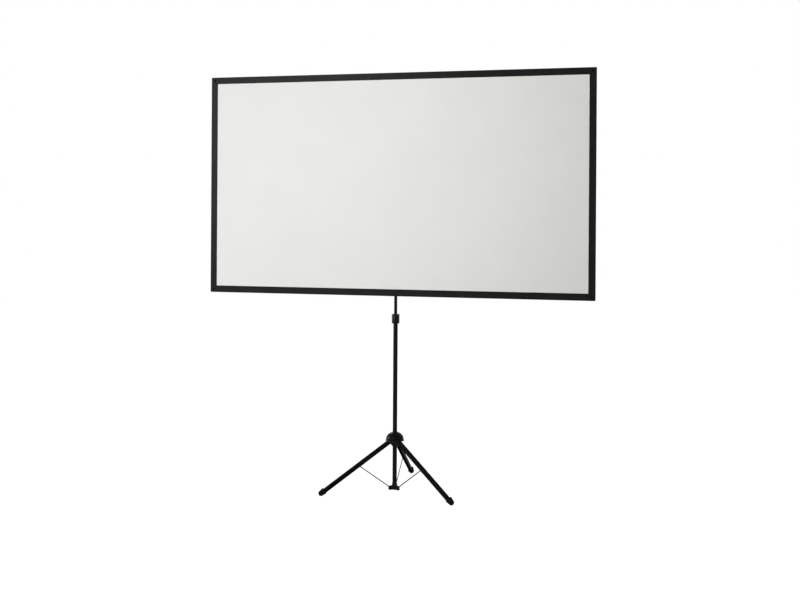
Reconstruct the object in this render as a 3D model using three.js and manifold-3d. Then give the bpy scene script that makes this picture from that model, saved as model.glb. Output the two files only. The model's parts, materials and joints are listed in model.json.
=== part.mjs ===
// Tripod projection screen: a stretched white sheet with a black border on a telescopic mast,
// standing on a folding tripod. Millimetres, +Z up, +X to the viewer's right, -Y towards the viewer.
// The mast's axis is x = y = 0 and the floor is z = 0.
import * as THREE from 'three';
import { mergeVertices } from 'three/addons/utils/BufferGeometryUtils.js';
import Module from 'manifold-3d';

const wasm = await Module();
wasm.setup();

// Clearances, and how far a cutter reaches past what it cuts
const GAP = 0.3;
const TURN_GAP = 0.6;
const CUT = 20;

// Sheet
const SHEET_W = 1770;
const SHEET_H = 1000;
const SHEET_T = 0.5;
const SHEET_CORNER_R = 4;
const SHEET_MID_Z = 1375;
const SHEET_BACK_Y = -24;
const BORDER_W = 31;
const BORDER_T = 0.4;
const RIVET_INSET = 15.5;
const RIVET_R = 2.5;
const RIVET_HEAD_R = 4.8;
const RIVET_HEAD_H = 1.5;
const RIVET_TAIL_H = 1;

// Corner shoes on the back of the sheet
const SHOE_FLOOR_T = 3;
const SHOE_HALF_W = 8.5;
const SHOE_WALL = 2.6;
const SHOE_END_T = 3.4;
const SHOE_LEN = 44;
const SHOE_END_H = 12;
const SHOE_SIDE_H = 10;
const SHOE_RIVET_SPACE = 3;
const SHOE_SIDE_INSET = 8;
const SEAT_GAP = 0.1;

// Arms behind the sheet
const ARM_Y = -13;
const ARM_PIVOT_R = 46;
const ARM_OUTER_R = 6;
const ARM_OUTER_WALL = 1;
const ARM_OUTER_LEN = 510;
const ARM_INNER_R = 4.6;
const ARM_INNER_WALL = 0.9;
const ARM_OVERLAP = 54;
const ARM_TIP_R = 5.5;
const ARM_TIP_LEN = 26;
const ARM_TIP_SPIGOT = 27;
const FORK_HALF_W = 7.5;
const FORK_CHEEK_T = 3.6;
const FORK_LEN = 24;
const FORK_TAPER = 6;
const FORK_SPIGOT = 30;
const ARM_PIN_R = 2.5;
const PIN_HEAD_R = 4.4;
const PIN_HEAD_H = 1.4;

// Cross hub on the upper tube
const HUB_HALF_H = 42;
const HUB_R = 12;
const HUB_ROOF_T = 3.7;
const HUB_EDGE = 2;
const HUB_PLATE_T = 6;
const HUB_LOBE_R = 9;
const HUB_CENTRE_R = 24;
const BOSS_R = 7.5;
const BOSS_END_Y = 20;
const KNOB_R = 13;
const KNOB_LOBE = 2.4;
const KNOB_LOBES = 6;
const KNOB_LEN = 12;
const KNOB_ROUND = 2.2;
const STUD_R = 2.6;

// Mast
const MAST_R = 10;
const MAST_WALL = 1.2;
const MAST_TOP_Z = 790;
const UPPER_R = 7;
const UPPER_WALL = 1;
const UPPER_BOTTOM_Z = 640;
const GLIDE_H = 18;
const GLIDE_SPIGOT = 18;
const BUSH_LEN = 38;
const BUSH_FLANGE_T = 3.2;

// Clamp collar at the top of the lower tube
const COLLAR_Z = 752;
const COLLAR_H = 42;
const COLLAR_HALF_W = 16.7;
const COLLAR_FRONT_Y = -15;
const COLLAR_CORNER_R = 12;
const LEVER_T = 6;
const LEVER_LEFT = -4;
const LEVER_PIN_X = 12.6;
const LEVER_PIN_Y = -18.4;
const LEVER_PIN_R = 1.6;
const LEVER_KNUCKLE_R = 3;
const LEVER_EAR_T = 3.4;
const LEVER_FOOT_RISE = 9;
const LEVER_TAPER = 6;
const LEVER_EDGE = 1;
const CLAMP_SLIT_X = 4;
const CLAMP_SLIT_W = 1.6;

// Mast foot
const FOOT_BOTTOM_Z = 6;
const FOOT_FLOOR_T = 4;
const FOOT_SLEEVE_R = 11.7;
const FOOT_SLEEVE_TOP = 36;
const FOOT_EDGE = 1.4;
const EAR_T = 2.6;
const EAR_R = 4.2;
const EAR_ROOT_UP = 2;
const EAR_FOOT_R = 3;

// Tripod: leg pivots, splay and braces
const LEG_SIDES = ['rear', 'left', 'right'];
const REAR_AZIMUTH_DEG = 90;
const PIVOT_R = 24;
const CROWN_Z = 223.4;
const SPLAY_DEG = 55.85;
const FOOT_CENTRE_Z = 11.5;
const LEG_HALF_W = 8;
const LEG_HALF_D = 9.5;
const LEG_WALL = 1.4;
const LEG_END_INSET = 6;
const LEG_PIN_R = 2.6;
const BRACE_AT = 173;
const BRACE_SET = 6;
const BRACE_HALF_W = 2.2;
const BRACE_HALF_T = 1.5;
const BRACE_EDGE = 1.1;
const BRACE_EYE_R = 4.2;
const BRACE_EYE_T = 3.2;
const BRACE_PIN_R = 2;
const SMALL_HEAD_R = 3.4;
const SMALL_HEAD_H = 1;

// Rubber feet
const RUBBER_T = 2.6;
const RUBBER_BEFORE = 19;
const RUBBER_BALL_R = 12.6;
const RUBBER_CORNER_R = 5;
const RUBBER_LIP = 1.3;
const RUBBER_LIP_LEN = 6;

// Crown
const CROWN_SLEEVE_R = 13.2;
const CROWN_BELOW = 22;
const CROWN_ABOVE = 41;
const CHEEK_T = 3.6;
const CHEEK_REACH = 7;
const CHEEK_BELOW = 9;
const CHEEK_ROUND = 5;
const SKIRT_R = 22;
const SKIRT_BELOW = 16;
const SKIRT_EDGE = 3;
const ROOF_UP = 12.5;
const ROOF_T = 3.5;
const DOME_R = 42.5;
const DOME_BRIM = 2.5;
const DOME_BRIM_H = 3.2;
const DOME_WALL = 2;
const DOME_SPRING_UP = 8;
const DOME_RISE = 34.5;
const DOME_TOP_EDGE = 0.8;

// Fineness of round faces
const SEG_FINE = 28;
const SEG = 22;
const SEG_ARM = 14;
const SEG_BALL = 14;
const SEG_PIN = 10;

// Finishes
const finish = (color, roughness, metalness) =>
  new THREE.MeshStandardMaterial({ color, roughness, metalness });
const TUBE_BLACK = finish(0x1b1b1c, 0.42, 0.6);
const PLASTIC_BLACK = finish(0x161617, 0.45, 0);
const RUBBER_BLACK = finish(0x0e0e0e, 0.85, 0);
const STEEL = finish(0x8f9296, 0.35, 1);
const RIVET_DARK = finish(0x2b2c2d, 0.4, 0.8);
const SHEET_WHITE = finish(0xe9e9e6, 0.9, 0);
const BORDER_BLACK = finish(0x1a1a1a, 0.85, 0);

// Solids
function solid(geometry) {
  const bare = geometry.index ? geometry.toNonIndexed() : geometry.clone();
  bare.deleteAttribute('normal');
  bare.deleteAttribute('uv');
  const merged = mergeVertices(bare, 1e-4);
  const all = merged.index.array;
  const kept = [];
  for (let i = 0; i < all.length; i += 3) {
    const [a, b, c] = [all[i], all[i + 1], all[i + 2]];
    if (a !== b && b !== c && a !== c) kept.push(a, b, c);
  }
  const vertProperties = new Float32Array(merged.attributes.position.array);
  return new wasm.Manifold(new wasm.Mesh({ numProp: 3, vertProperties, triVerts: new Uint32Array(kept) }));
}

function surface(body) {
  const made = body.getMesh();
  const geometry = new THREE.BufferGeometry();
  geometry.setAttribute('position', new THREE.BufferAttribute(new Float32Array(made.vertProperties), 3));
  geometry.setIndex(new THREE.BufferAttribute(new Uint32Array(made.triVerts), 1));
  geometry.computeVertexNormals();
  return geometry;
}

// A turned body about Z from [radius, height] points; the list closes on itself or ends on the axis.
function turned(points, segments) {
  let area = 0;
  points.forEach(([r, z], i) => {
    const [r2, z2] = points[(i + 1) % points.length];
    area += r * z2 - r2 * z;
  });
  const ordered = area > 0 ? [...points] : [...points].reverse();
  const first = ordered.findIndex(([r], i) => r === 0 && ordered.at(i - 1)[0] === 0);
  const line = first < 0 ? [...ordered, ordered[0]] : [...ordered.slice(first), ...ordered.slice(0, first)];
  const geometry = new THREE.LatheGeometry(line.map(([r, z]) => new THREE.Vector2(r, z)), segments);
  return solid(geometry.rotateX(Math.PI / 2));
}

const tube = (outer, inner, z0, z1, segments) =>
  turned([[outer, z0], [outer, z1], [inner, z1], [inner, z0]], segments);

const rod = (r, z0, z1, segments) => turned([[0, z0], [r, z0], [r, z1], [0, z1]], segments);

function box(x0, x1, y0, y1, z0, z1) {
  const geometry = new THREE.BoxGeometry(x1 - x0, y1 - y0, z1 - z0);
  return solid(geometry.translate((x0 + x1) / 2, (y0 + y1) / 2, (z0 + z1) / 2));
}

// A flat outline pushed out along Z.
function slab(shape, z0, z1, curveSegments = 6) {
  const depth = z1 - z0;
  const geometry = new THREE.ExtrudeGeometry(shape, { depth, bevelEnabled: false, curveSegments });
  return solid(geometry.translate(0, 0, z0));
}

function outline(points) {
  return new THREE.Shape(points.map(([x, y]) => new THREE.Vector2(x, y)));
}

function arc(cx, cy, r, from, to, steps) {
  const points = [];
  for (let i = 0; i <= steps; i += 1) {
    const a = THREE.MathUtils.degToRad(from + ((to - from) * i) / steps);
    points.push([cx + r * Math.cos(a), cy + r * Math.sin(a)]);
  }
  return points;
}

function roundedBox(x0, x1, y0, y1, r, steps) {
  return outline([
    ...arc(x1 - r, y0 + r, r, -90, 0, steps),
    ...arc(x1 - r, y1 - r, r, 0, 90, steps),
    ...arc(x0 + r, y1 - r, r, 90, 180, steps),
    ...arc(x0 + r, y0 + r, r, 180, 270, steps),
  ]);
}

// Turns a body so that its Z axis lies along another axis.
const alongX = (body) => solid(surface(body).rotateY(Math.PI / 2));
const alongY = (body) => solid(surface(body).rotateX(-Math.PI / 2));
const moved = (body, x, y, z) => solid(surface(body).translate(x, y, z));
const turnedZ = (body, angle) => solid(surface(body).rotateZ(angle));

function union(...bodies) {
  return bodies.reduce((sum, body) => sum.add(body));
}

function place(group, name, body, material) {
  const mesh = new THREE.Mesh(surface(body), material);
  mesh.name = name;
  group.add(mesh);
}

const part = new THREE.Group();
part.name = 'tripod_projection_screen';

// Tripod linkage: the leg pivot, the brace pivot on the leg and the brace pivot on the mast foot form
// an isosceles triangle, so that the crown stays on the mast's axis at every fold.
const splay = THREE.MathUtils.degToRad(SPLAY_DEG);
const legLength = (CROWN_Z - FOOT_CENTRE_Z) / Math.cos(splay);
const braceLength = Math.hypot(BRACE_AT, BRACE_SET);
const braceTopR = PIVOT_R + BRACE_AT * Math.sin(splay) - BRACE_SET * Math.cos(splay);
const braceTopZ = CROWN_Z - BRACE_AT * Math.cos(splay) - BRACE_SET * Math.sin(splay);
const braceFootZ = 2 * braceTopZ - CROWN_Z;
const legAzimuths = Object.fromEntries(
  LEG_SIDES.map((side, i) => [side, REAR_AZIMUTH_DEG + (360 * i) / LEG_SIDES.length]),
);
const cheekIn = LEG_HALF_W + TURN_GAP;
const cheekOut = cheekIn + CHEEK_T;
const boreR = MAST_R + GAP;
const earIn = BRACE_EYE_T / 2 + GAP;
const earOut = earIn + EAR_T;

function pin(r, halfLength, headR, headH) {
  const reach = halfLength + headH;
  return turned(
    [[0, -reach], [headR * 0.75, -reach], [headR, -halfLength], [r, -halfLength],
      [r, halfLength], [headR, halfLength], [headR * 0.75, reach], [0, reach]],
    SEG_PIN,
  );
}

// Mast
place(part, 'mast_tube',
  tube(MAST_R, MAST_R - MAST_WALL, FOOT_BOTTOM_Z + FOOT_FLOOR_T + GAP, MAST_TOP_Z, SEG), TUBE_BLACK);

function mastFoot() {
  const inside = FOOT_BOTTOM_Z + FOOT_FLOOR_T;
  let body = turned(
    [[0, FOOT_BOTTOM_Z], [FOOT_SLEEVE_R - FOOT_EDGE, FOOT_BOTTOM_Z],
      [FOOT_SLEEVE_R, FOOT_BOTTOM_Z + FOOT_EDGE], [FOOT_SLEEVE_R, FOOT_SLEEVE_TOP - FOOT_EDGE],
      [(FOOT_SLEEVE_R + boreR) / 2, FOOT_SLEEVE_TOP], [boreR, FOOT_SLEEVE_TOP],
      [boreR, inside], [0, inside]],
    SEG,
  );
  const root = (boreR + FOOT_SLEEVE_R) / 2;
  const reach = PIVOT_R + EAR_R;
  const side = outline([
    [root, FOOT_BOTTOM_Z],
    ...arc(reach - EAR_FOOT_R, FOOT_BOTTOM_Z + EAR_FOOT_R, EAR_FOOT_R, -90, 0, 3),
    ...arc(PIVOT_R, braceFootZ, EAR_R, 0, 90, 4),
    [root, braceFootZ + EAR_R + EAR_ROOT_UP],
  ]);
  const fin = solid(surface(slab(side, -earOut, earOut)).rotateX(Math.PI / 2));
  const webTop = braceFootZ - BRACE_EYE_R - TURN_GAP;
  const slot = box(0, reach + CUT, -earIn, earIn, webTop, webTop + 2 * CUT);
  const hole = moved(alongY(rod(BRACE_PIN_R + GAP, -CUT, CUT, SEG_PIN)), PIVOT_R, 0, braceFootZ);
  const ears = fin.subtract(slot).subtract(hole);
  Object.values(legAzimuths).forEach((azimuth) => {
    body = body.add(turnedZ(ears, THREE.MathUtils.degToRad(azimuth)));
  });
  return body;
}
place(part, 'mast_foot', mastFoot(), PLASTIC_BLACK);

// Crown: the dome is an elliptic shell with a small flared brim, seated on the roof of the crown body.
const domeBodyR = DOME_R - DOME_BRIM;
const domeSpring = CROWN_Z + DOME_SPRING_UP;
const roofTopShare = (CROWN_Z + ROOF_UP + ROOF_T - domeSpring) / (DOME_RISE - DOME_WALL);
const domeInsideAtRoof = (domeBodyR - DOME_WALL) * Math.sqrt(1 - roofTopShare ** 2);
const roofR = domeInsideAtRoof * Math.cos(Math.PI / SEG_FINE) - GAP;

function crownBody() {
  const low = CROWN_Z - CROWN_BELOW;
  const high = CROWN_Z + CROWN_ABOVE;
  const roofZ = CROWN_Z + ROOF_UP;
  const skirtFoot = CROWN_Z - SKIRT_BELOW;
  const skirtTop = roofZ + ROOF_T / 2;
  const skirt = turned(
    [[0, skirtFoot], [SKIRT_R - SKIRT_EDGE, skirtFoot], [SKIRT_R, skirtFoot + SKIRT_EDGE],
      [SKIRT_R, skirtTop], [0, skirtTop]],
    SEG_FINE);
  const legSlot = box(0, SKIRT_R + CUT, -cheekIn, cheekIn, low, roofZ);
  const slots = Object.values(legAzimuths).map(
    (azimuth) => turnedZ(legSlot, THREE.MathUtils.degToRad(azimuth)),
  );
  let body = tube(CROWN_SLEEVE_R, boreR, low, high, SEG).add(skirt.subtract(union(...slots)));
  body = body.add(rod(roofR, roofZ, roofZ + ROOF_T, SEG_FINE));
  const reach = PIVOT_R + CHEEK_REACH;
  const side = outline([
    [MAST_R / 2, CROWN_Z - CHEEK_BELOW],
    ...arc(reach - CHEEK_ROUND, CROWN_Z - CHEEK_BELOW + CHEEK_ROUND, CHEEK_ROUND, -90, 0, 5),
    [reach, skirtTop],
    [MAST_R / 2, skirtTop],
  ]);
  const cheek = solid(surface(slab(side, cheekIn, cheekOut)).rotateX(Math.PI / 2));
  const other = moved(cheek, 0, cheekIn + cheekOut, 0);
  const hole = moved(alongY(rod(LEG_PIN_R + GAP, -CUT, CUT, SEG_PIN)), PIVOT_R, 0, CROWN_Z);
  const pair = union(cheek, other).subtract(hole);
  Object.values(legAzimuths).forEach((azimuth) => {
    body = body.add(turnedZ(pair, THREE.MathUtils.degToRad(azimuth)));
  });
  return body.subtract(rod(boreR, low - CUT, high + CUT, SEG));
}
place(part, 'crown_body', crownBody(), PLASTIC_BLACK);

function crownDome() {
  const holeR = CROWN_SLEEVE_R + GAP;
  const topR = holeR + DOME_TOP_EDGE;
  const shell = (wide, high, steps) => {
    const last = THREE.MathUtils.radToDeg(Math.acos(topR / wide));
    return arc(0, 0, 1, 0, last, steps).map(([c, s]) => [wide * c, domeSpring + high * s]);
  };
  const brim = (inset, steps) => arc(0, 0, 1, 0, 90, steps).map(
    ([c, s]) => [DOME_R - (DOME_BRIM + inset) * c, domeSpring - (DOME_BRIM_H + inset) * s],
  );
  const outer = shell(domeBodyR, DOME_RISE, 7);
  const inner = shell(domeBodyR - DOME_WALL, DOME_RISE - DOME_WALL, 4);
  const outerTop = outer.at(-1)[1];
  const innerTop = inner.at(-1)[1];
  const upward = [...brim(0, 3).reverse(), ...outer.slice(1), [holeR, outerTop]];
  const downward = [[holeR, innerTop], ...inner.reverse(), ...brim(DOME_WALL, 2).slice(1)];
  return turned([...upward, ...downward], SEG_FINE);
}
place(part, 'crown_dome', crownDome(), PLASTIC_BLACK);

// One leg: a channel open towards the mast, drawn along Z with its round back towards +Y.
const legEnd = legLength - LEG_END_INSET;
function channelOutline(grow, open) {
  const w = LEG_HALF_W + grow;
  const d = LEG_HALF_D + grow;
  const backR = LEG_HALF_W * 0.8 + grow;
  const cx = w - backR;
  const cy = d - backR;
  const back = [...arc(cx, cy, backR, 0, 90, 5), ...arc(-cx, cy, backR, 90, 180, 5)];
  if (!open) return outline([[w, -d], ...back, [-w, -d]]);
  const r = backR - LEG_WALL;
  const hollow = [...arc(-cx, cy, r, 180, 90, 5), ...arc(cx, cy, r, 90, 0, 5)];
  return outline([[w, -d], ...back, [-w, -d], [LEG_WALL - w, -d], ...hollow, [w - LEG_WALL, -d]]);
}

function legChannel() {
  const long = slab(channelOutline(0, true), -LEG_HALF_D, legEnd);
  const far = -legEnd - CUT;
  const side = outline([...arc(0, 0, LEG_HALF_D, 0, 180, 12), [-LEG_HALF_D, far], [LEG_HALF_D, far]]);
  const lie = new THREE.Matrix4().makeBasis(
    new THREE.Vector3(0, 1, 0), new THREE.Vector3(0, 0, -1), new THREE.Vector3(-1, 0, 0));
  const limit = solid(surface(slab(side, -LEG_HALF_W - CUT, LEG_HALF_W + CUT)).applyMatrix4(lie));
  const pivot = alongX(rod(LEG_PIN_R + GAP, -CUT, CUT, SEG_PIN));
  const rivet = moved(alongX(rod(BRACE_PIN_R + GAP, -CUT, CUT, SEG_PIN)), 0, -BRACE_SET, BRACE_AT);
  return { long, limit, pivot, rivet };
}

// Rubber foot: a sleeve over the leg's end with a lip at its mouth, ending in a ball.
function rubberFoot() {
  const start = legLength - RUBBER_BEFORE;
  const sleeve = (grow, from, to) => {
    const w = LEG_HALF_W + RUBBER_T + grow;
    const d = LEG_HALF_D + RUBBER_T + grow;
    return slab(roundedBox(-w, w, -d, d, RUBBER_CORNER_R + grow, 3), from, to);
  };
  const half = arc(0, legLength, RUBBER_BALL_R, -90, 90, 10).slice(1, -1);
  const ball = turned([[0, legLength - RUBBER_BALL_R], ...half, [0, legLength + RUBBER_BALL_R]], SEG_BALL);
  const whole = union(sleeve(0, start, legLength), sleeve(RUBBER_LIP, start, start + RUBBER_LIP_LEN), ball);
  return whole.subtract(slab(channelOutline(GAP, false), start - CUT, legEnd + GAP));
}

function brace() {
  const eye = alongX(rod(BRACE_EYE_R, -BRACE_EYE_T / 2, BRACE_EYE_T / 2, SEG_PIN));
  const hole = alongX(rod(BRACE_PIN_R + GAP, -CUT, CUT, SEG_PIN));
  const section = roundedBox(-BRACE_HALF_T, BRACE_HALF_T, -BRACE_HALF_W, BRACE_HALF_W, BRACE_EDGE, 2);
  const bar = slab(section, BRACE_PIN_R, braceLength - BRACE_PIN_R);
  const whole = union(bar, eye, moved(eye, 0, 0, braceLength));
  return whole.subtract(hole).subtract(moved(hole, 0, 0, braceLength));
}

const { long, limit, pivot, rivet } = legChannel();
const channel = long.intersect(limit).subtract(pivot).subtract(rivet);
const foot = rubberFoot();
const bar = brace();
const legPin = alongX(pin(LEG_PIN_R, cheekOut + GAP, PIN_HEAD_R, PIN_HEAD_H));
const braceRivet = alongX(pin(BRACE_PIN_R, LEG_HALF_W + GAP, SMALL_HEAD_R, SMALL_HEAD_H));
const bracePin = alongX(pin(BRACE_PIN_R, earOut + GAP, SMALL_HEAD_R, SMALL_HEAD_H));

// A frame in the leg's plane: X across the leg, Z along the given direction from the given point.
function inPlane(parent, r, z, angle) {
  const frame = new THREE.Group();
  const across = new THREE.Vector3(0, 1, 0);
  const along = new THREE.Vector3(Math.sin(angle), 0, -Math.cos(angle));
  const normal = new THREE.Vector3().crossVectors(along, across);
  frame.setRotationFromMatrix(new THREE.Matrix4().makeBasis(across, normal, along));
  frame.position.set(r, 0, z);
  parent.add(frame);
  return frame;
}

const braceLean = Math.atan2(braceTopR - PIVOT_R, braceTopZ - braceFootZ);
Object.entries(legAzimuths).forEach(([side, azimuth]) => {
  const plane = new THREE.Group();
  plane.rotation.z = THREE.MathUtils.degToRad(azimuth);
  part.add(plane);
  const leg = inPlane(plane, PIVOT_R, CROWN_Z, splay);
  place(leg, `leg_channel_${side}`, channel, TUBE_BLACK);
  place(leg, `leg_pin_${side}`, legPin, STEEL);
  const onLeg = new THREE.Group();
  onLeg.position.set(0, -BRACE_SET, BRACE_AT);
  leg.add(onLeg);
  place(onLeg, `brace_rivet_${side}`, braceRivet, STEEL);
  const tilt = solid(surface(foot).applyMatrix4(leg.matrix.compose(leg.position, leg.quaternion, leg.scale)));
  const floor = box(0, 2 * legLength, -legLength, legLength, -legLength, 0);
  place(plane, `leg_foot_${side}`, tilt.subtract(floor), RUBBER_BLACK);
  const link = inPlane(plane, PIVOT_R, braceFootZ, Math.PI - braceLean);
  place(link, `brace_${side}`, bar, STEEL);
  place(link, `brace_pin_${side}`, bracePin, STEEL);
});

// Clamp collar, its lever and pin
function clampCollar() {
  const top = COLLAR_Z + COLLAR_H;
  const block = roundedBox(-COLLAR_HALF_W, COLLAR_HALF_W, COLLAR_FRONT_Y, COLLAR_HALF_W, COLLAR_CORNER_R, 6);
  const earShape = roundedBox(LEVER_PIN_X - LEVER_KNUCKLE_R - LEVER_EDGE, LEVER_PIN_X + LEVER_KNUCKLE_R,
    LEVER_PIN_Y - LEVER_KNUCKLE_R, 0, 2 * LEVER_EDGE, 3);
  const ear = slab(earShape, COLLAR_Z, COLLAR_Z + LEVER_EAR_T);
  const upper = moved(ear, 0, 0, COLLAR_H - LEVER_EAR_T);
  const hole = moved(rod(LEVER_PIN_R + GAP, COLLAR_Z - CUT, top + CUT, SEG_PIN), LEVER_PIN_X, LEVER_PIN_Y, 0);
  const slitTo = CLAMP_SLIT_X + CLAMP_SLIT_W;
  const slit = box(CLAMP_SLIT_X, slitTo, COLLAR_FRONT_Y - CUT, 0, COLLAR_Z - CUT, top + CUT);
  const whole = union(slab(block, COLLAR_Z, top).subtract(slit), ear, upper).subtract(hole);
  return whole.subtract(rod(boreR, COLLAR_Z - CUT, top + CUT, SEG));
}
place(part, 'clamp_collar', clampCollar(), PLASTIC_BLACK);

function clampLever() {
  const low = COLLAR_Z + LEVER_EAR_T + TURN_GAP;
  const high = COLLAR_Z + COLLAR_H - LEVER_EAR_T - TURN_GAP;
  const front = LEVER_PIN_Y - LEVER_T / 2;
  const back = LEVER_PIN_Y + LEVER_T / 2;
  const plan = outline([
    ...arc(LEVER_PIN_X, LEVER_PIN_Y, LEVER_KNUCKLE_R, -90, 90, 8),
    [LEVER_LEFT + LEVER_EDGE, back],
    [LEVER_LEFT, back - LEVER_EDGE],
    [LEVER_LEFT + LEVER_EDGE, LEVER_PIN_Y],
    [LEVER_LEFT + LEVER_TAPER, front],
  ]);
  const face = outline([
    [LEVER_LEFT, low + LEVER_FOOT_RISE],
    [LEVER_LEFT + LEVER_TAPER, low + LEVER_FOOT_RISE / 3],
    [LEVER_PIN_X - LEVER_KNUCKLE_R, low],
    [LEVER_PIN_X + LEVER_KNUCKLE_R, low],
    [LEVER_PIN_X + LEVER_KNUCKLE_R, high],
    [LEVER_LEFT + LEVER_TAPER / 2, high],
    [LEVER_LEFT, high - LEVER_TAPER / 2],
  ]);
  const shield = solid(surface(slab(face, 0, -LEVER_PIN_Y + CUT)).rotateX(Math.PI / 2));
  const hole = moved(rod(LEVER_PIN_R + GAP, low - CUT, high + CUT, SEG_PIN), LEVER_PIN_X, LEVER_PIN_Y, 0);
  return slab(plan, low, high).intersect(shield).subtract(hole);
}
place(part, 'clamp_lever', clampLever(), PLASTIC_BLACK);
place(part, 'clamp_pin',
  moved(rod(LEVER_PIN_R, COLLAR_Z, COLLAR_Z + COLLAR_H, SEG_PIN), LEVER_PIN_X, LEVER_PIN_Y, 0), STEEL);

// Upper tube with its bush and glide
const slideR = UPPER_R + GAP;
const insideR = MAST_R - MAST_WALL - GAP;
const bushTop = MAST_TOP_Z + GAP;
place(part, 'guide_bush',
  turned([[slideR, bushTop - BUSH_LEN], [insideR, bushTop - BUSH_LEN], [insideR, bushTop], [MAST_R, bushTop],
    [MAST_R, bushTop + BUSH_FLANGE_T], [slideR, bushTop + BUSH_FLANGE_T]], SEG), PLASTIC_BLACK);
const hubTop = SHEET_MID_Z + HUB_HALF_H;
const upperTop = hubTop - HUB_ROOF_T - GAP;
place(part, 'upper_tube', tube(UPPER_R, UPPER_R - UPPER_WALL, UPPER_BOTTOM_Z, upperTop, SEG), TUBE_BLACK);
const plugR = UPPER_R - UPPER_WALL - GAP;
const glideTop = UPPER_BOTTOM_Z - GAP;
place(part, 'glide_plug',
  turned([[0, glideTop - GLIDE_H], [insideR, glideTop - GLIDE_H], [insideR, glideTop], [plugR, glideTop],
    [plugR, glideTop + GLIDE_SPIGOT], [0, glideTop + GLIDE_SPIGOT]], SEG), PLASTIC_BLACK);

// Arms: directions from the hub's centre to the rivets
const rivetX = SHEET_W / 2 - RIVET_INSET;
const rivetZ = SHEET_H / 2 - RIVET_INSET;
const rivetReach = Math.hypot(rivetX, rivetZ) - ARM_PIVOT_R;
const rise = Math.atan2(rivetZ, rivetX);
const arms = {
  upper_right: { angle: rise, hand: 1 },
  upper_left: { angle: Math.PI - rise, hand: -1 },
  lower_left: { angle: Math.PI + rise, hand: 1 },
  lower_right: { angle: 2 * Math.PI - rise, hand: -1 },
};

function crossHub() {
  const low = SHEET_MID_Z - HUB_HALF_H;
  let plate = alongY(rod(HUB_CENTRE_R, -HUB_PLATE_T / 2, HUB_PLATE_T / 2, SEG_FINE));
  Object.values(arms).forEach(({ angle }) => {
    const bar = outline([
      ...arc(ARM_PIVOT_R, 0, HUB_LOBE_R, -90, 90, 8),
      [0, HUB_LOBE_R],
      [0, -HUB_LOBE_R],
    ]);
    const lobe = solid(
      surface(slab(bar, -HUB_PLATE_T / 2, HUB_PLATE_T / 2)).rotateX(Math.PI / 2).rotateY(-angle),
    );
    const hole = moved(alongY(rod(ARM_PIN_R + GAP, -CUT, CUT, SEG_PIN)),
      ARM_PIVOT_R * Math.cos(angle), 0, ARM_PIVOT_R * Math.sin(angle));
    plate = plate.add(lobe).subtract(hole);
  });
  const body = union(
    turned([[0, low], [HUB_R, low], [HUB_R, hubTop - HUB_EDGE], [HUB_R - HUB_EDGE, hubTop], [0, hubTop]],
      SEG),
    moved(plate, 0, ARM_Y, SHEET_MID_Z),
    moved(alongY(rod(BOSS_R, 0, BOSS_END_Y, SEG)), 0, 0, SHEET_MID_Z),
  );
  const bore = rod(slideR, low - CUT, hubTop - HUB_ROOF_T, SEG);
  const stud = moved(alongY(rod(STUD_R + GAP, 0, BOSS_END_Y + CUT, SEG_PIN)), 0, 0, SHEET_MID_Z);
  return body.subtract(bore).subtract(stud);
}
place(part, 'cross_hub', crossHub(), PLASTIC_BLACK);

function hubKnob() {
  const points = [];
  const steps = KNOB_LOBES * 5;
  for (let i = 0; i < steps; i += 1) {
    const a = (2 * Math.PI * i) / steps;
    const r = KNOB_R + KNOB_LOBE * Math.cos(KNOB_LOBES * a);
    points.push([r * Math.cos(a), r * Math.sin(a)]);
  }
  const start = BOSS_END_Y + TURN_GAP;
  const geometry = new THREE.ExtrudeGeometry(outline(points), {
    depth: KNOB_LEN - 2 * KNOB_ROUND,
    bevelEnabled: true,
    bevelThickness: KNOB_ROUND,
    bevelSize: KNOB_ROUND,
    bevelOffset: -KNOB_ROUND,
    bevelSegments: 2,
  });
  const head = solid(geometry.translate(0, 0, start + KNOB_ROUND));
  const stud = rod(STUD_R, slideR + GAP, start + 1, SEG_PIN);
  return moved(alongY(union(head, stud)), 0, 0, SHEET_MID_Z);
}
place(part, 'hub_knob', hubKnob(), PLASTIC_BLACK);

// Arm pieces along Z from the pivot, X in the sheet's plane, Y to the rear
const slotHalf = HUB_PLATE_T / 2 + GAP;
const forkHalfT = slotHalf + FORK_CHEEK_T;
const slotEnd = HUB_LOBE_R + 2 * TURN_GAP;
function armFork() {
  const plan = outline([
    ...arc(0, 0, FORK_HALF_W, 180, 360, 10),
    [FORK_HALF_W, FORK_LEN - FORK_TAPER],
    [ARM_OUTER_R, FORK_LEN],
    [-ARM_OUTER_R, FORK_LEN],
    [-FORK_HALF_W, FORK_LEN - FORK_TAPER],
  ]);
  const block = solid(surface(slab(plan, -forkHalfT, forkHalfT)).rotateX(Math.PI / 2));
  const slot = box(-CUT, CUT, -slotHalf, slotHalf, -CUT, slotEnd);
  const hole = alongY(rod(ARM_PIN_R + GAP, -CUT, CUT, SEG_PIN));
  const spigot = rod(ARM_OUTER_R - ARM_OUTER_WALL - GAP, FORK_LEN - 1, FORK_LEN + FORK_SPIGOT, SEG_ARM);
  return union(block, spigot).subtract(slot).subtract(hole);
}

const outerStart = FORK_LEN + GAP;
const outerEnd = outerStart + ARM_OUTER_LEN;
const shoeEnd = rivetReach - RIVET_HEAD_R - SHOE_END_T - SHOE_RIVET_SPACE;
const tipEnd = shoeEnd - GAP;
const tipStart = tipEnd - ARM_TIP_LEN;
const innerStart = outerEnd - ARM_OVERLAP;
const innerEnd = tipStart - GAP;

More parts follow.
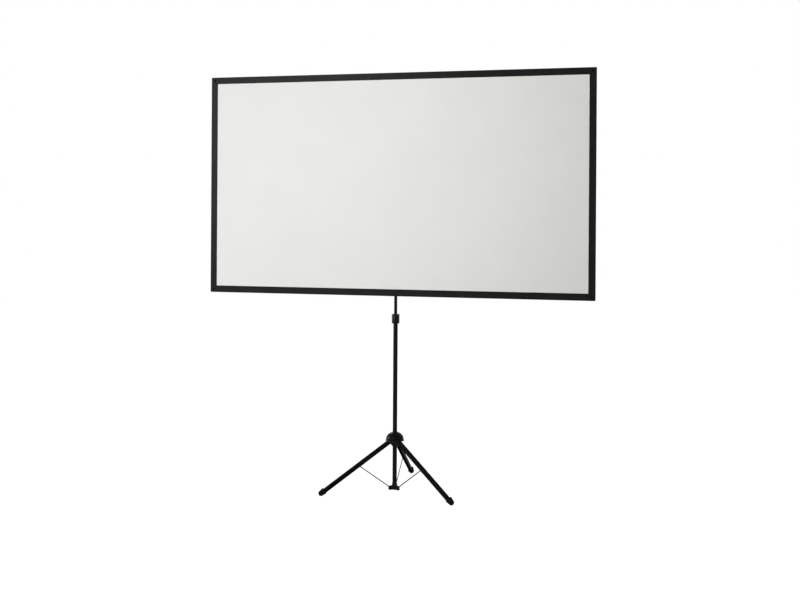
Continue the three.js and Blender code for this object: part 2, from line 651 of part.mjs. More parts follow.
function armTip() {
  const plug = ARM_INNER_R - ARM_INNER_WALL - GAP;
  const nose = arc(0, tipEnd - ARM_TIP_R, ARM_TIP_R, 0, 90, 4).slice(0, 4);
  return turned([[0, tipStart - ARM_TIP_SPIGOT], [plug, tipStart - ARM_TIP_SPIGOT], [plug, tipStart],
    [ARM_TIP_R, tipStart], ...nose, [0, tipEnd]], SEG_ARM);
}

// The corner shoe: a floor riveted to the sheet, an end wall the tip presses on, and one side wall
// on the side away from the arm's swing.
const sheetBack = SHEET_BACK_Y - ARM_Y;
const floorFrom = sheetBack + SEAT_GAP;
const floorTo = floorFrom + SHOE_FLOOR_T;
function cornerShoe(hand) {
  const start = shoeEnd - SHOE_LEN;
  const plan = outline([
    ...arc(0, -rivetReach, SHOE_HALF_W, 180, 360, 10),
    [SHOE_HALF_W, -start],
    [-SHOE_HALF_W, -start],
  ]);
  const floor = solid(surface(slab(plan, floorFrom, floorTo)).rotateX(-Math.PI / 2));
  const wallTo = shoeEnd + SHOE_END_T;
  const endWall = box(-SHOE_HALF_W, SHOE_HALF_W, floorFrom, floorTo + SHOE_END_H, shoeEnd, wallTo);
  const inner = SHOE_HALF_W - SHOE_WALL;
  const sideFrom = hand > 0 ? inner : -SHOE_HALF_W;
  const sideTo = hand > 0 ? SHOE_HALF_W : -inner;
  const sideWall = box(sideFrom, sideTo, floorFrom, floorTo + SHOE_SIDE_H, start + SHOE_SIDE_INSET, wallTo);
  const hole = moved(alongY(rod(RIVET_R + GAP, -CUT, CUT, SEG_PIN)), 0, 0, rivetReach);
  return union(floor, endWall, sideWall).subtract(hole);
}

function cornerRivet() {
  const face = -sheetBack + SHEET_T + BORDER_T + SEAT_GAP;
  const tail = -floorTo - SEAT_GAP;
  const tailR = RIVET_HEAD_R * 0.8;
  const round = arc(0, 0, 1, 90, 0, 3).slice(1);
  const head = round.map(([c, s]) => [RIVET_HEAD_R * c, face + RIVET_HEAD_H * s]);
  const body = turned([[0, face + RIVET_HEAD_H], ...head, [RIVET_R, face], [RIVET_R, tail],
    [tailR, tail], [tailR, tail - RIVET_TAIL_H], [0, tail - RIVET_TAIL_H]], SEG_PIN);
  return moved(solid(surface(body).rotateX(Math.PI / 2)), 0, 0, rivetReach);
}

const fork = armFork();
const outerTube = tube(ARM_OUTER_R, ARM_OUTER_R - ARM_OUTER_WALL, outerStart, outerEnd, SEG_ARM);
const innerTube = tube(ARM_INNER_R, ARM_INNER_R - ARM_INNER_WALL, innerStart, innerEnd, SEG_ARM);
const tip = armTip();
const armPin = alongY(pin(ARM_PIN_R, forkHalfT + GAP, PIN_HEAD_R, PIN_HEAD_H));
const shoes = { 1: cornerShoe(1), '-1': cornerShoe(-1) };
const cornerPin = cornerRivet();
Object.entries(arms).forEach(([corner, { angle, hand }]) => {
  const arm = new THREE.Group();
  const along = new THREE.Vector3(Math.cos(angle), 0, Math.sin(angle));
  const rear = new THREE.Vector3(0, 1, 0);
  const across = new THREE.Vector3().crossVectors(rear, along);
  arm.setRotationFromMatrix(new THREE.Matrix4().makeBasis(across, rear, along));
  arm.position.set(ARM_PIVOT_R * along.x, ARM_Y, SHEET_MID_Z + ARM_PIVOT_R * along.z);
  part.add(arm);
  place(arm, `arm_fork_${corner}`, fork, PLASTIC_BLACK);
  place(arm, `arm_pin_${corner}`, armPin, STEEL);
  place(arm, `arm_outer_${corner}`, outerTube, TUBE_BLACK);
  place(arm, `arm_inner_${corner}`, innerTube, STEEL);
  place(arm, `arm_tip_${corner}`, tip, PLASTIC_BLACK);
  place(arm, `corner_shoe_${corner}`, shoes[hand], PLASTIC_BLACK);
  place(arm, `corner_rivet_${corner}`, cornerPin, RIVET_DARK);
});

// Sheet and border, drawn flat in X and Z
function punched(shape) {
  [[1, 1], [-1, 1], [-1, -1], [1, -1]].forEach(([sx, sz]) => {
    const hole = new THREE.Path();
    hole.absarc(sx * rivetX, sz * rivetZ, RIVET_R + GAP, 0, 2 * Math.PI, true);
    shape.holes.push(hole);
  });
  return shape;
}

function flat(shape, front, back) {
  const body = solid(surface(slab(shape, -back, -front, 4)).rotateX(Math.PI / 2));
  return moved(body, 0, 0, SHEET_MID_Z);
}

const sheetShape = () =>
  roundedBox(-SHEET_W / 2, SHEET_W / 2, -SHEET_H / 2, SHEET_H / 2, SHEET_CORNER_R, 4);
const sheetFront = SHEET_BACK_Y - SHEET_T;
place(part, 'screen_sheet', flat(punched(sheetShape()), sheetFront, SHEET_BACK_Y), SHEET_WHITE);
const borderShape = punched(sheetShape());
const inW = SHEET_W / 2 - BORDER_W;
const inH = SHEET_H / 2 - BORDER_W;
borderShape.holes.push(new THREE.Path([
  new THREE.Vector2(-inW, -inH),
  new THREE.Vector2(-inW, inH),
  new THREE.Vector2(inW, inH),
  new THREE.Vector2(inW, -inH),
]));
place(part, 'screen_border', flat(borderShape, sheetFront - BORDER_T, sheetFront), BORDER_BLACK);

export default part;
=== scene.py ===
"""Tripod projection screen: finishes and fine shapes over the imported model.

Shapes are worked out in millimetres and turned to metres when a piece is made. +Z is up, +X to the
viewer's right and -Y towards the viewer; the mast is on the Z axis and the floor at z = 0.
"""

import json
import math

import bmesh
import bpy
import numpy as np
from mathutils import Matrix, Vector


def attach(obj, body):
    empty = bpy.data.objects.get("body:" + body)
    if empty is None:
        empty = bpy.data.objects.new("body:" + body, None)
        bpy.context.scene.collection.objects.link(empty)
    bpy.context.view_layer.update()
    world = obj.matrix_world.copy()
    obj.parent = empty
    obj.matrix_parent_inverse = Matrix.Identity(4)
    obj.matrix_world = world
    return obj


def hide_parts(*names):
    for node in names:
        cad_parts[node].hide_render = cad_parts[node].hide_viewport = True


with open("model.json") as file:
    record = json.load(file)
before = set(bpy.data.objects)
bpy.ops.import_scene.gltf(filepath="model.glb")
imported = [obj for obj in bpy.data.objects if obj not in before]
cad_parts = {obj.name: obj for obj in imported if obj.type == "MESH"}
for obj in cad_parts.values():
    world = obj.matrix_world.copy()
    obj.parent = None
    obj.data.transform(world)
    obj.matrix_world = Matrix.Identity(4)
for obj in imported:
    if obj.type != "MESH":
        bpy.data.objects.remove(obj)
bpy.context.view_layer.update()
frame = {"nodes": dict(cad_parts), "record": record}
scene = bpy.context.scene
scene.view_settings.view_transform = "Standard"

# Metres in a millimetre, how many metres apart two points are one, and the way that upright pieces run
MM = 0.001
SAME_POINT = 0.000002
UP = (0.0, 0.0, 1.0)

# A piece's own axes in the object's: drawn in X and Z and raised along Y, or turned about Y
ORIGIN = (0, 0, 0)
FACE_ON = ((1, 0, 0), (0, 0, 1), (0, 1, 0))
ROUND_Y = ((0, 0, 1), (1, 0, 0), (0, 1, 0))

# Clearance between fitted pieces, least divisor, and what turned pieces share: the ring that closes them
# on their axis, where a dome ends short of it, a tube's broken edge, a chamfer's width and height, and
# the segments round them
GAP = 0.3
TINY = 1e-9
POLE_R = 0.3
DOME_STOP_DEG = 87
TUBE_EDGE = 0.4
CHAMFER = (0.4, 0.5)
SEG_DOME = 96
SEG_ROOF = 72
SEG_TUBE = 64
SEG_UPPER = 56
SEG_BOSS = 48
SEG_ARM = 40
SEG_INNER = 36
SEG_ROD = 32
SEG_PIN = 28

# Sheet and how it lies, border and corner rivets
SHEET_W = 1770.0
SHEET_H = 1000.0
SHEET_MID_Z = 1375.0
SHEET_BACK_Y = -24.0
SHEET_T = 0.5
SHEET_CORNER_R = 4.0
SHEET_COLUMNS = 176
SHEET_ROWS = 100
RIM_W = 8.0
RIM_PLACES = (0.0, 0.6, 1.2, 1.9, 2.7, 3.5, 4.5)
HOLLOW = 0.9
HOLLOW_FALL = 0.35
HELD_R = 60.0
HELD_EASE = 160.0
RIPPLE = 0.35
RIPPLES = 9
RIPPLE_FROM = 70.0
RIPPLE_GROW = 120.0
RIPPLE_FADE = 170.0
BORDER_W = 31.0
BORDER_T = 0.4
BORDER_EDGE = (0.0, 0.15, 0.5)
BORDER_PLACES = (2.5, 9.0, 16.0, 22.0, 28.0)
BORDER_RISE = (0.0, 0.625, 1.0, 1.0, 0.9, 0.9, 0.9, 1.0, 1.0, 0.625, 0.0)
BORDER_SINK = 0.02
RIVET_INSET = 15.5
RIVET_R = 2.5
RIVET_HEAD_R = 4.8
RIVET_HEAD_H = 1.5
RIVET_TAIL_H = 1.0
RIVET_TAIL_R = 0.8 * RIVET_HEAD_R
RIVET_RING_R = 3.0
RIVET_DISH = ((2.3, 0.25), (1.5, 0.6), (POLE_R, 0.7))
RIVET_SEAT = 0.1
SHOE_BACK_Y = -20.9

# Arms
ARM_Y = -13.0
ARM_PIVOT_R = 46.0
ARM_PIN_R = 2.5
ARM_PIN_HALF = 7.2
OUTER_R = 6.0
OUTER_BORE_R = 5.0
OUTER_START = 24.3
OUTER_END = 534.3
INNER_R = 4.6
INNER_BORE_R = 3.7
INNER_START = 480.3
INNER_EDGE = 0.3
TIP_R = 5.5
TIP_LEN = 26.0
TIP_BEFORE_RIVET = 11.5
TIP_SPIGOT = 27.0
TIP_EDGE = 0.6
TIP_GROOVE = ((5.0, 0.0), (5.6, 0.5), (6.8, 0.5), (7.4, 0.0))
SWAGE = ((12.0, 0.0), (10.5, 0.1), (9.0, 0.4), (8.0, 0.5), (0.3, 0.5), (0.0, 0.7))
PIN_HEAD_R = 4.4
PIN_HEAD_H = 1.4
FORK_HALF_W = 7.5
FORK_SLOT = 3.3
FORK_HALF_T = 6.9
FORK_SLOT_END = 10.2
FORK_LEN = 24.0
FORK_TAPER = 6.0
FORK_SPIGOT_R = 4.7
FORK_SPIGOT_END = 54.0
FORK_SPIGOT_LAP = 1.0
FORK_EDGE = 0.7
FORK_BLOCK_LAP = 0.8
FORK_BLOCK_EDGE = 0.1

# Corner shoes
SHOE_HALF_W = 8.5
SHOE_WALL = 2.6
SHOE_END_T = 3.4
SHOE_LEN = 44.0
SHOE_FLOOR_Y = -10.9
SHOE_FLOOR_T = 3.0
SHOE_END_H = 12.0
SHOE_SIDE_H = 10.0
SHOE_SIDE_INSET = 8.0
SHOE_BEFORE_RIVET = 11.2
SHOE_EDGE = 0.5
SHOE_END_EDGE = 0.6
SHOE_FOOT_R = 0.8
SHOE_END_R = 2.4
SHOE_SIDE_R = 3.2

# Cross hub and its knob
HUB_HALF_H = 42.0
HUB_R = 12.0
HUB_BORE_R = 7.3
HUB_ROOF_T = 3.7
HUB_EDGE = 2.0
HUB_FOOT_EDGE = 0.8
HUB_PLATE_EDGE = 0.8
HUB_FILLET_POWER = 14
HUB_PLATE_T = 6.0
HUB_LOBE_R = 9.0
HUB_CENTRE_R = 24.0
BOSS_R = 7.5
BOSS_FROM_Y = 8.0
BOSS_END_Y = 20.0
BOSS_EDGE = 1.0
KNOB_FROM_Y = 20.6
KNOB_LEN = 12.0
KNOB_R = 13.0
KNOB_LOBE = 2.4
KNOB_LOBES = 6
KNOB_ROUND = 2.2
KNOB_DISH = ((0.6, 0.0), (0.54, 0.6), (0.1, 0.6))
STUD_R = 2.6
STUD_FROM_Y = 7.6
STUD_LAP = 1.0

# Mast and clamp
MAST_R = 10.0
MAST_BORE_R = 8.8
MAST_BOTTOM_Z = 10.3
MAST_TOP_Z = 790.0
UPPER_R = 7.0
UPPER_BORE_R = 6.0
UPPER_BOTTOM_Z = 640.0
UPPER_TOP_Z = 1413.0
COLLAR_Z = 752.0
COLLAR_H = 42.0
COLLAR_HALF_W = 16.7
COLLAR_FRONT_Y = -15.0
COLLAR_CORNER_R = 12.0
COLLAR_EDGE = 1.6
COLLAR_BORE_EDGE = 0.5
COLLAR_TURN_DEG = (-69.5, 284.9)
SLEEVE_BORE_R = 10.3
LEVER_T = 6.0
LEVER_LEFT = -4.0
LEVER_PIN_X = 12.6
LEVER_PIN_Y = -18.4
LEVER_KNUCKLE_R = 3.0
LEVER_EAR_T = 3.4
LEVER_EAR_BACK_Y = -6.0
LEVER_EAR_PAST = 0.5
LEVER_EAR_R = 2.6
LEVER_EAR_BACK_R = 0.6
LEVER_EAR_EDGE = 0.6
LEVER_EDGE = 1.0
LEVER_TIP_R = 1.2
LEVER_NOSE = ((0.3, 3.8), (1.4, 2.6), (3.4, 1.4), (6.5, 0.25), (9.0, 0.0))
LEVER_STOPS = (0.0, 3.0, 6.0)
LEVER_FOOT_RISES = (9.0, 4.6, 2.6)
LEVER_HEAD_FALLS = (3.0, 0.8, 0.0)
TURN_GAP = 0.6

# Mast foot
FOOT_BOTTOM_Z = 6.0
FOOT_FLOOR_T = 4.0
FOOT_SLEEVE_R = 11.7
FOOT_SLEEVE_TOP = 36.0
FOOT_EDGE = 1.4
FOOT_TOP_EDGE = 0.9
FOOT_MOUTH_EDGE = 0.4
FOOT_POLE_R = 0.4
EAR_T = 2.6
EAR_R = 4.2
EAR_FROM = 1.9
EAR_ROOT_UP = 2.0
EAR_HEEL_R = 3.0
EAR_EDGE = 0.6
WEB_LAP = 0.7
WEB_NOTCH = 0.5
WEB_EDGE = 0.05

# Tripod
AZIMUTH_DEG = {"rear": 90, "left": 210, "right": 330}
PIVOT_R = 24.0
CROWN_Z = 223.4
SPLAY = math.radians(55.85)
FOOT_CENTRE_Z = 11.5
LEG_LEN = (CROWN_Z - FOOT_CENTRE_Z) / math.cos(SPLAY)
LEG_END_BEFORE = 6.0
LEG_END = LEG_LEN - LEG_END_BEFORE
LEG_END_EDGE = 0.4
LEG_HALF_W = 8.0
LEG_HALF_D = 9.5
LEG_WALL = 1.4
LEG_BACK_R = 6.4
LEG_PIN_R = 2.6
LEG_PIN_HALF = 12.5
BRACE_AT = 173.0
BRACE_SET = 6.0
BRACE_LEN = math.hypot(BRACE_AT, BRACE_SET)
BRACE_HALF_W = 2.2
BRACE_HALF_T = 1.5
BRACE_EDGE = 1.1
BRACE_EYE_R = 4.2
BRACE_EYE_T = 3.2
BRACE_EYE_EDGE = 0.5
BRACE_TIP_TURN = 0.12
BRACE_NECK_FROM = 0.5
BRACE_NECK_LEN = 14.0
BRACE_NECK_SQ = 18.0
BRACE_ROUND_SHARE = 0.9
BRACE_PIN_R = 2.0
BRACE_TOP_R = PIVOT_R + BRACE_AT * math.sin(SPLAY) - BRACE_SET * math.cos(SPLAY)
BRACE_TOP_Z = CROWN_Z - BRACE_AT * math.cos(SPLAY) - BRACE_SET * math.sin(SPLAY)
BRACE_FOOT_Z = 2 * BRACE_TOP_Z - CROWN_Z
BRACE_LEAN = math.atan2(BRACE_TOP_R - PIVOT_R, BRACE_TOP_Z - BRACE_FOOT_Z)
SMALL_HEAD_R = 3.4
SMALL_HEAD_H = 1.0
RUBBER_T = 2.6
RUBBER_BEFORE = 19.0
RUBBER_BALL_R = 12.6
RUBBER_BALL_DEG = (5, 88)
RUBBER_CORNER_R = 5.0
RUBBER_SOCKET_R = 0.6
RUBBER_MOUTH = 0.5
RUBBER_LIP = ((0.0, 0.4), (0.35, 1.05), (1.1, 1.3), (4.6, 1.3), (5.6, 1.0), (6.0, 0.35), (6.5, 0.0))
RUBBER_NECK = 7.5

# Crown body and dome
CROWN_BELOW = 22.0
CROWN_ABOVE = 41.0
CROWN_SLEEVE_R = 13.2
CROWN_SLEEVE_EDGE = 1.0
CHEEK_IN = 8.6
CHEEK_OUT = 12.2
CHEEK_FROM_R = 7.0
CHEEK_REACH = 7.0
CHEEK_BELOW = 9.0
CHEEK_ROUND = 5.0
CHEEK_EDGE = 0.5
SKIRT_R = 22.0
SKIRT_BELOW = 16.0
SKIRT_EDGE = 2.6
ROOF_UP = 12.5
ROOF_T = 3.5
ROOF_R = 36.3
ROOF_EDGE = 0.6
ROOF_LAP = 1.0
DOME_R = 42.5
DOME_BRIM = 2.5
DOME_BRIM_H = 3.2
DOME_WALL = 2.0
DOME_SPRING_Z = CROWN_Z + 8.0
DOME_RISE = 34.5
DOME_HOLE_R = 13.5
DOME_TOP_EDGE = 0.8
DOME_LIP_EDGE = 0.3


# Camera

CAMERA_AT = (1.119, -4.530, 1.218)
CAMERA_TURN_DEG = 13.64
CAMERA_ROLL = 0.0062
CAMERA_SENSOR = 36.0
CAMERA_LENS = 46.73
CAMERA_SHIFT = (-0.0006, -0.1005)
CAMERA_REACH = 100.0


def photo_camera():
    """The photograph's viewpoint: level, turned 13.6 degrees, horizon above the frame's middle."""
    data = bpy.data.cameras.new("photo_camera")
    data.sensor_width = CAMERA_SENSOR
    data.lens = CAMERA_LENS
    data.shift_x, data.shift_y = CAMERA_SHIFT
    data.clip_end = CAMERA_REACH
    obj = bpy.data.objects.new("photo_camera", data)
    scene.collection.objects.link(obj)
    turn = Matrix.Rotation(math.radians(CAMERA_TURN_DEG), 4, "Z")
    upright = Matrix.Rotation(math.radians(90), 4, "X")
    roll = Matrix.Rotation(CAMERA_ROLL, 4, "Z")
    obj.matrix_world = Matrix.Translation(CAMERA_AT) @ turn @ upright @ roll
    scene.camera = obj


photo_camera()


# Shader values

class Val:
    """A number in a node tree; arithmetic on it adds Math nodes."""

    def __init__(self, finish, socket):
        self.finish = finish
        self.socket = socket

    def math(self, operation, *others):
        sockets = dict(enumerate((self, *others)))
        return self.finish.node("ShaderNodeMath", {"operation": operation}, sockets)

    def __add__(self, other):
        return self.math("ADD", other)

    def __sub__(self, other):
        return self.math("SUBTRACT", other)

    def __rsub__(self, other):
        return self.finish.node("ShaderNodeMath", {"operation": "SUBTRACT"}, {0: other, 1: self})

    def __mul__(self, other):
        return self.math("MULTIPLY", other)

    __radd__ = __add__
    __rmul__ = __mul__

    def abs(self):
        return self.math("ABSOLUTE")

    def sin(self):
        return self.math("SINE")

    def least(self, other):
        return self.math("MINIMUM", other)

    def most(self, other):
        return self.math("MAXIMUM", other)

    def step(self, low, high, to_low=0.0, to_high=1.0):
        """Smooth step from to_low at low to to_high at high."""
        sockets = {"Value": self, "From Min": low, "From Max": high, "To Min": to_low, "To Max": to_high}
        return self.finish.node("ShaderNodeMapRange", {"interpolation_type": "SMOOTHSTEP"}, sockets)


class Finish:
    """One node material or world on the shader that it starts with."""

    def __init__(self, owner, shader, **uniform):
        self.owner = owner
        owner.use_nodes = True
        self.tree = owner.node_tree
        self.shader = self.tree.nodes[shader]
        for key, value in uniform.items():
            self.shader.inputs[key.replace("_", " ")].default_value = value
        self.normal = None

    @classmethod
    def paint(cls, name, **uniform):
        return cls(bpy.data.materials.new(name), "Principled BSDF", **uniform)

    def node(self, kind, settings=None, sockets=None, out=0):
        """Adds a node: its settings first, then values or links for its sockets by name or place."""
        made = self.tree.nodes.new(kind)
        for key, value in (settings or {}).items():
            setattr(made, key, value)
        for key, value in (sockets or {}).items():
            target = self.socket(made.inputs, key)
            if isinstance(value, Val):
                self.tree.links.new(value.socket, target)
            else:
                target.default_value = value
        return Val(self, self.socket(made.outputs, out))

    @staticmethod
    def socket(sockets, key):
        if isinstance(key, int):
            return sockets[key]
        return next(s for s in sockets if key in (s.identifier, s.name) and s.enabled)

    def place(self):
        return self.node("ShaderNodeTexCoord", out="Object")

    def vector(self, operation, a, b, key=1, out=0):
        return self.node("ShaderNodeVectorMath", {"operation": operation}, {0: a, key: b}, out=out)

    def drawn(self, direction, share):
        """Object coordinates shortened along a direction to a share of their length there."""
        run = self.vector("DOT_PRODUCT", self.place(), direction, out="Value")
        back = self.vector("SCALE", direction, run * (1.0 - share), "Scale")
        return self.vector("SUBTRACT", self.place(), back)

    def axis(self, name):
        return self.node("ShaderNodeSeparateXYZ", None, {"Vector": self.place()}, out=name)

    def noise(self, scale, detail=2.0, rough=0.5, vector=None):
        sockets = {"Vector": vector or self.place(), "Scale": scale, "Detail": detail, "Roughness": rough}
        return self.node("ShaderNodeTexNoise", None, sockets)

    def cells(self, scale):
        return self.node("ShaderNodeTexVoronoi", None, {"Vector": self.place(), "Scale": scale})

    def mix(self, factor, a, b):
        """The colour a where factor is 0 and b where it is 1."""
        colours = {"A_Color": a, "B_Color": b}
        sockets = {key: c if isinstance(c, Val) else (*c, 1.0) for key, c in colours.items()}
        return self.node("ShaderNodeMix", {"data_type": "RGBA"}, {"Factor_Float": factor, **sockets},
                         out="Result_Color")

    def feed(self, socket, value):
        self.tree.links.new(value.socket, self.shader.inputs[socket])

    def ease_edges(self, radius):
        """Rounds the shading of sharp edges over a radius in metres."""
        self.normal = self.node("ShaderNodeBevel", {"samples": 6}, {"Radius": radius}, out="Normal")
        self.feed("Normal", self.normal)

    def edges(self, reach):
        """1 on the piece's own outer edges, falling to 0 at a reach in metres from them."""
        settings = {"samples": 8, "inside": True, "only_local": True}
        clear = self.node("ShaderNodeAmbientOcclusion", settings, {"Distance": reach}, out="AO")
        return (1.0 - clear).step(0.06, 0.4)

    def bump(self, height, distance, strength=1.0):
        """Raises the surface by height times distance in metres, over what was raised before."""
        sockets = {"Height": height, "Distance": distance, "Strength": strength}
        if self.normal:
            sockets["Normal"] = self.normal
        self.normal = self.node("ShaderNodeBump", None, sockets, out="Normal")
        self.feed("Normal", self.normal)


# Finishes

def sheet_white():
    """Matt white projection coating: fine bead grain, faint mottling, a trace of warm grey."""
    f = Finish.paint("sheet_white_coating", Specular_IOR_Level=0.2)
    mottle = f.noise(5.0, 3.0).step(0.3, 0.7)
    f.feed("Base Color", f.mix(mottle, (0.80, 0.80, 0.785), (0.815, 0.815, 0.80)))
    f.feed("Roughness", f.noise(60.0) * 0.1 + 0.82)
    f.bump(f.cells(1400.0), 0.00006, 0.3)
    f.bump(f.noise(9.0), 0.0012, 0.1)
    return f.owner


def woven(f, pitch):
    """Plain weave in the sheet's plane: two crossed sine ribs of that pitch, from 0 to 1."""
    turn = 2 * math.pi / pitch
    return (f.axis("X") * turn).sin() * (f.axis("Z") * turn).sin() * 0.5 + 0.5


def sheet_black_back():
    """Black light-stopping back of the sheet: coated weave with a low gloss."""
    f = Finish.paint("sheet_black_back", Specular_IOR_Level=0.25)
    tone = f.noise(8.0, 3.0).step(0.3, 0.75)
    f.feed("Base Color", f.mix(tone, (0.011, 0.011, 0.012), (0.02, 0.02, 0.021)))
    f.feed("Roughness", f.noise(40.0) * 0.14 + 0.54)
    f.bump(woven(f, 0.0012), 0.00008, 0.5)
    return f.owner


def border_black():
    """Black border band: matt ink on cloth, fine weave, rubbed to grey along its outer hem."""
    f = Finish.paint("border_black_band", Specular_IOR_Level=0.1)
    from_side = SHEET_W / 2 * MM - f.axis("X").abs()
    from_end = SHEET_H / 2 * MM - (f.axis("Z") - SHEET_MID_Z * MM).abs()
    from_hem = from_side.least(from_end)
    rub = from_hem.step(0.0, 0.004, 0.6, 0.0) * f.noise(220.0, 3.0).step(0.5, 0.8)
    tone = f.noise(30.0, 3.0).step(0.3, 0.75)
    base = f.mix(tone, (0.0035, 0.0035, 0.0033), (0.006, 0.006, 0.0057))
    f.feed("Base Color", f.mix(rub, base, (0.03, 0.03, 0.029)))
    f.feed("Roughness", f.noise(90.0) * 0.12 + 0.34)
    f.bump(woven(f, 0.0009), 0.00006, 0.4)
    return f.owner


def tube_black(name, direction=UP, gloss=0.05):
    """Black powder coat on drawn tube: orange-peel skin, specks of dust, fine rubs along a direction."""
    f = Finish.paint(name, Specular_IOR_Level=gloss)
    tone = f.noise(26.0, 3.0).step(0.25, 0.8)
    dust = f.noise(420.0, 2.0, 0.65).step(0.66, 0.8, 0.0, 0.25)
    rub = f.noise(170.0, 3.0, vector=f.drawn(direction, 0.03)).step(0.56, 0.74, 0.0, 0.45)
    rub = rub.most(f.edges(0.0007) * f.noise(260.0, 3.0).step(0.3, 0.7))
    base = f.mix(tone, (0.003, 0.003, 0.0031), (0.0062, 0.0062, 0.0064))
    f.feed("Base Color", f.mix(dust.most(rub), base, (0.036, 0.036, 0.036)))
    f.feed("Roughness", f.noise(160.0, 3.0, vector=f.drawn(direction, 0.06)) * 0.16 + 0.42)
    f.bump(f.noise(900.0), 0.00008, 0.3)
    return f.owner


def plastic_black(name, low, high, grain, gloss=0.08):
    """Moulded black plastic: spark-eroded grain, roughness between low and high, scuffs, rubbed edges."""
    f = Finish.paint(name, Specular_IOR_Level=gloss)
    f.ease_edges(0.0005)
    rubbed = f.edges(0.0014) * f.noise(420.0, 3.0).step(0.25, 0.65)
    tone = f.noise(70.0, 3.0).step(0.3, 0.8)
    base = f.mix(tone, (0.0018, 0.0018, 0.0019), (0.0038, 0.0038, 0.004))
    scuff = f.noise(340.0, 4.0, 0.7).step(0.63, 0.8, 0.0, 0.35)
    f.feed("Base Color", f.mix(scuff.most(rubbed), base, (0.055, 0.055, 0.057)))
    f.feed("Roughness", f.noise(120.0, 3.0) * (high - low) + low)
    f.bump(f.cells(1700.0), grain, 0.45)
    return f.owner


def rubber_black():
    """Black rubber: dull, dusty in patches, pebbled."""
    f = Finish.paint("rubber_black", Specular_IOR_Level=0.06)
    dust = f.noise(190.0, 4.0, 0.6).step(0.5, 0.85)
    f.feed("Base Color", f.mix(dust, (0.004, 0.004, 0.004), (0.011, 0.0108, 0.0104)))
    f.feed("Roughness", f.noise(300.0) * 0.2 + 0.72)
    f.bump(f.noise(1300.0), 0.00015, 0.4)
    return f.owner


def drawn_alloy(name, direction=UP):
    """Bare drawn alloy: faint tarnish, and die lines along a direction in its tone and roughness."""
    f = Finish.paint(name, Metallic=1.0)
    lines = f.noise(700.0, 3.0, vector=f.drawn(direction, 0.02))
    tarnish = f.noise(90.0, 4.0).step(0.35, 0.8).most(lines.step(0.5, 0.75, 0.0, 0.7))
    f.feed("Base Color", f.mix(tarnish, (0.62, 0.62, 0.63), (0.44, 0.44, 0.45)))
    f.feed("Roughness", lines * 0.2 + 0.26)
    f.bump(lines, 0.00004, 0.35)
    return f.owner


def blackened(name, dark, light, direction=UP, gloss=0.1):
    """Blackened steel: an oxide skin in clouds from dark to light, streaks along a direction, rubs."""
    f = Finish.paint(name, Specular_IOR_Level=gloss)
    cloud = f.noise(120.0, 4.0).step(0.35, 0.75)
    rub = f.noise(700.0, 3.0, 0.7).step(0.66, 0.82, 0.0, 0.4)
    f.feed("Base Color", f.mix(rub, f.mix(cloud, dark, light), (0.05, 0.05, 0.052)))
    lines = f.noise(600.0, 3.0, vector=f.drawn(direction, 0.1))
    f.feed("Roughness", lines * 0.2 + 0.36)
    f.bump(lines, 0.00003, 0.3)
    return f.owner


BRACE_TONES = (0.005, 0.005, 0.0052), (0.011, 0.011, 0.0114)
SHEET_WHITE = sheet_white()
SHEET_BACK_BLACK = sheet_black_back()
BORDER_BLACK = border_black()
TUBE_BLACK = tube_black("tube_black_coat")
PLASTIC = plastic_black("plastic_black_grained", 0.42, 0.62, 0.00007)
PLASTIC_GLOSS = plastic_black("plastic_black_gloss", 0.2, 0.36, 0.00002, 0.05)
PLASTIC_SATIN = plastic_black("plastic_black_satin", 0.24, 0.34, 0.00003, 0.13)
RUBBER = rubber_black()
BLACKENED = blackened("blackened_steel", (0.008, 0.008, 0.0085), (0.02, 0.02, 0.021))
BRACE_STEEL = blackened("brace_strip_steel", *BRACE_TONES)
DRAWN_ALLOY = drawn_alloy("drawn_alloy_tube")
RIVET_DARK = blackened("rivet_blackened", (0.001, 0.001, 0.001), (0.0025, 0.0025, 0.0026), gloss=0.02)

FINISH_OF_SLOT = {
    "black_tube": TUBE_BLACK,
    "bare_tube": DRAWN_ALLOY,
    "black_plastic": PLASTIC,
    "gloss_black_plastic": PLASTIC_GLOSS,
    "rubber": RUBBER,
    "steel": BLACKENED,
    "wire_steel": BRACE_STEEL,
    "dark_rivet": RIVET_DARK,
    "white_sheet": SHEET_WHITE,
    "black_border": BORDER_BLACK,
}
for entry in frame["record"]["subparts"]:
    materials = frame["nodes"][entry["node"]].data.materials
    materials.clear()
    materials.append(FINISH_OF_SLOT[entry["material_slot"]])


# Surfaces

def piece(name, shells, body, slot, node, sharp_deg=38.0, finish=None):
    """One object from closed shells of points in millimetres and faces, in place of a node of a body.

    It takes its slot's finish where it has none of its own.
    """
    points = [np.asarray(p, dtype=float).reshape(-1, 3) for p, _ in shells]
    starts = np.cumsum([0] + [len(p) for p in points])
    faces = [[i + start for i in face] for (_, shell), start in zip(shells, starts) for face in shell]
    mesh = bpy.data.meshes.new(name)
    mesh.from_pydata((np.concatenate(points) * MM).tolist(), [], faces)
    work = bmesh.new()
    work.from_mesh(mesh)
    bmesh.ops.remove_doubles(work, verts=work.verts, dist=SAME_POINT)
    bmesh.ops.recalc_face_normals(work, faces=work.faces)
    work.to_mesh(mesh)
    work.free()
    mesh.polygons.foreach_set("use_smooth", np.ones(len(mesh.polygons), dtype=bool))
    mesh.set_sharp_from_angle(angle=math.radians(sharp_deg))
    mesh.materials.append(finish or FINISH_OF_SLOT[slot])
    obj = bpy.data.objects.new(name, mesh)
    scene.collection.objects.link(obj)
    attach(obj, body)
    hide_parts(node)
    return obj


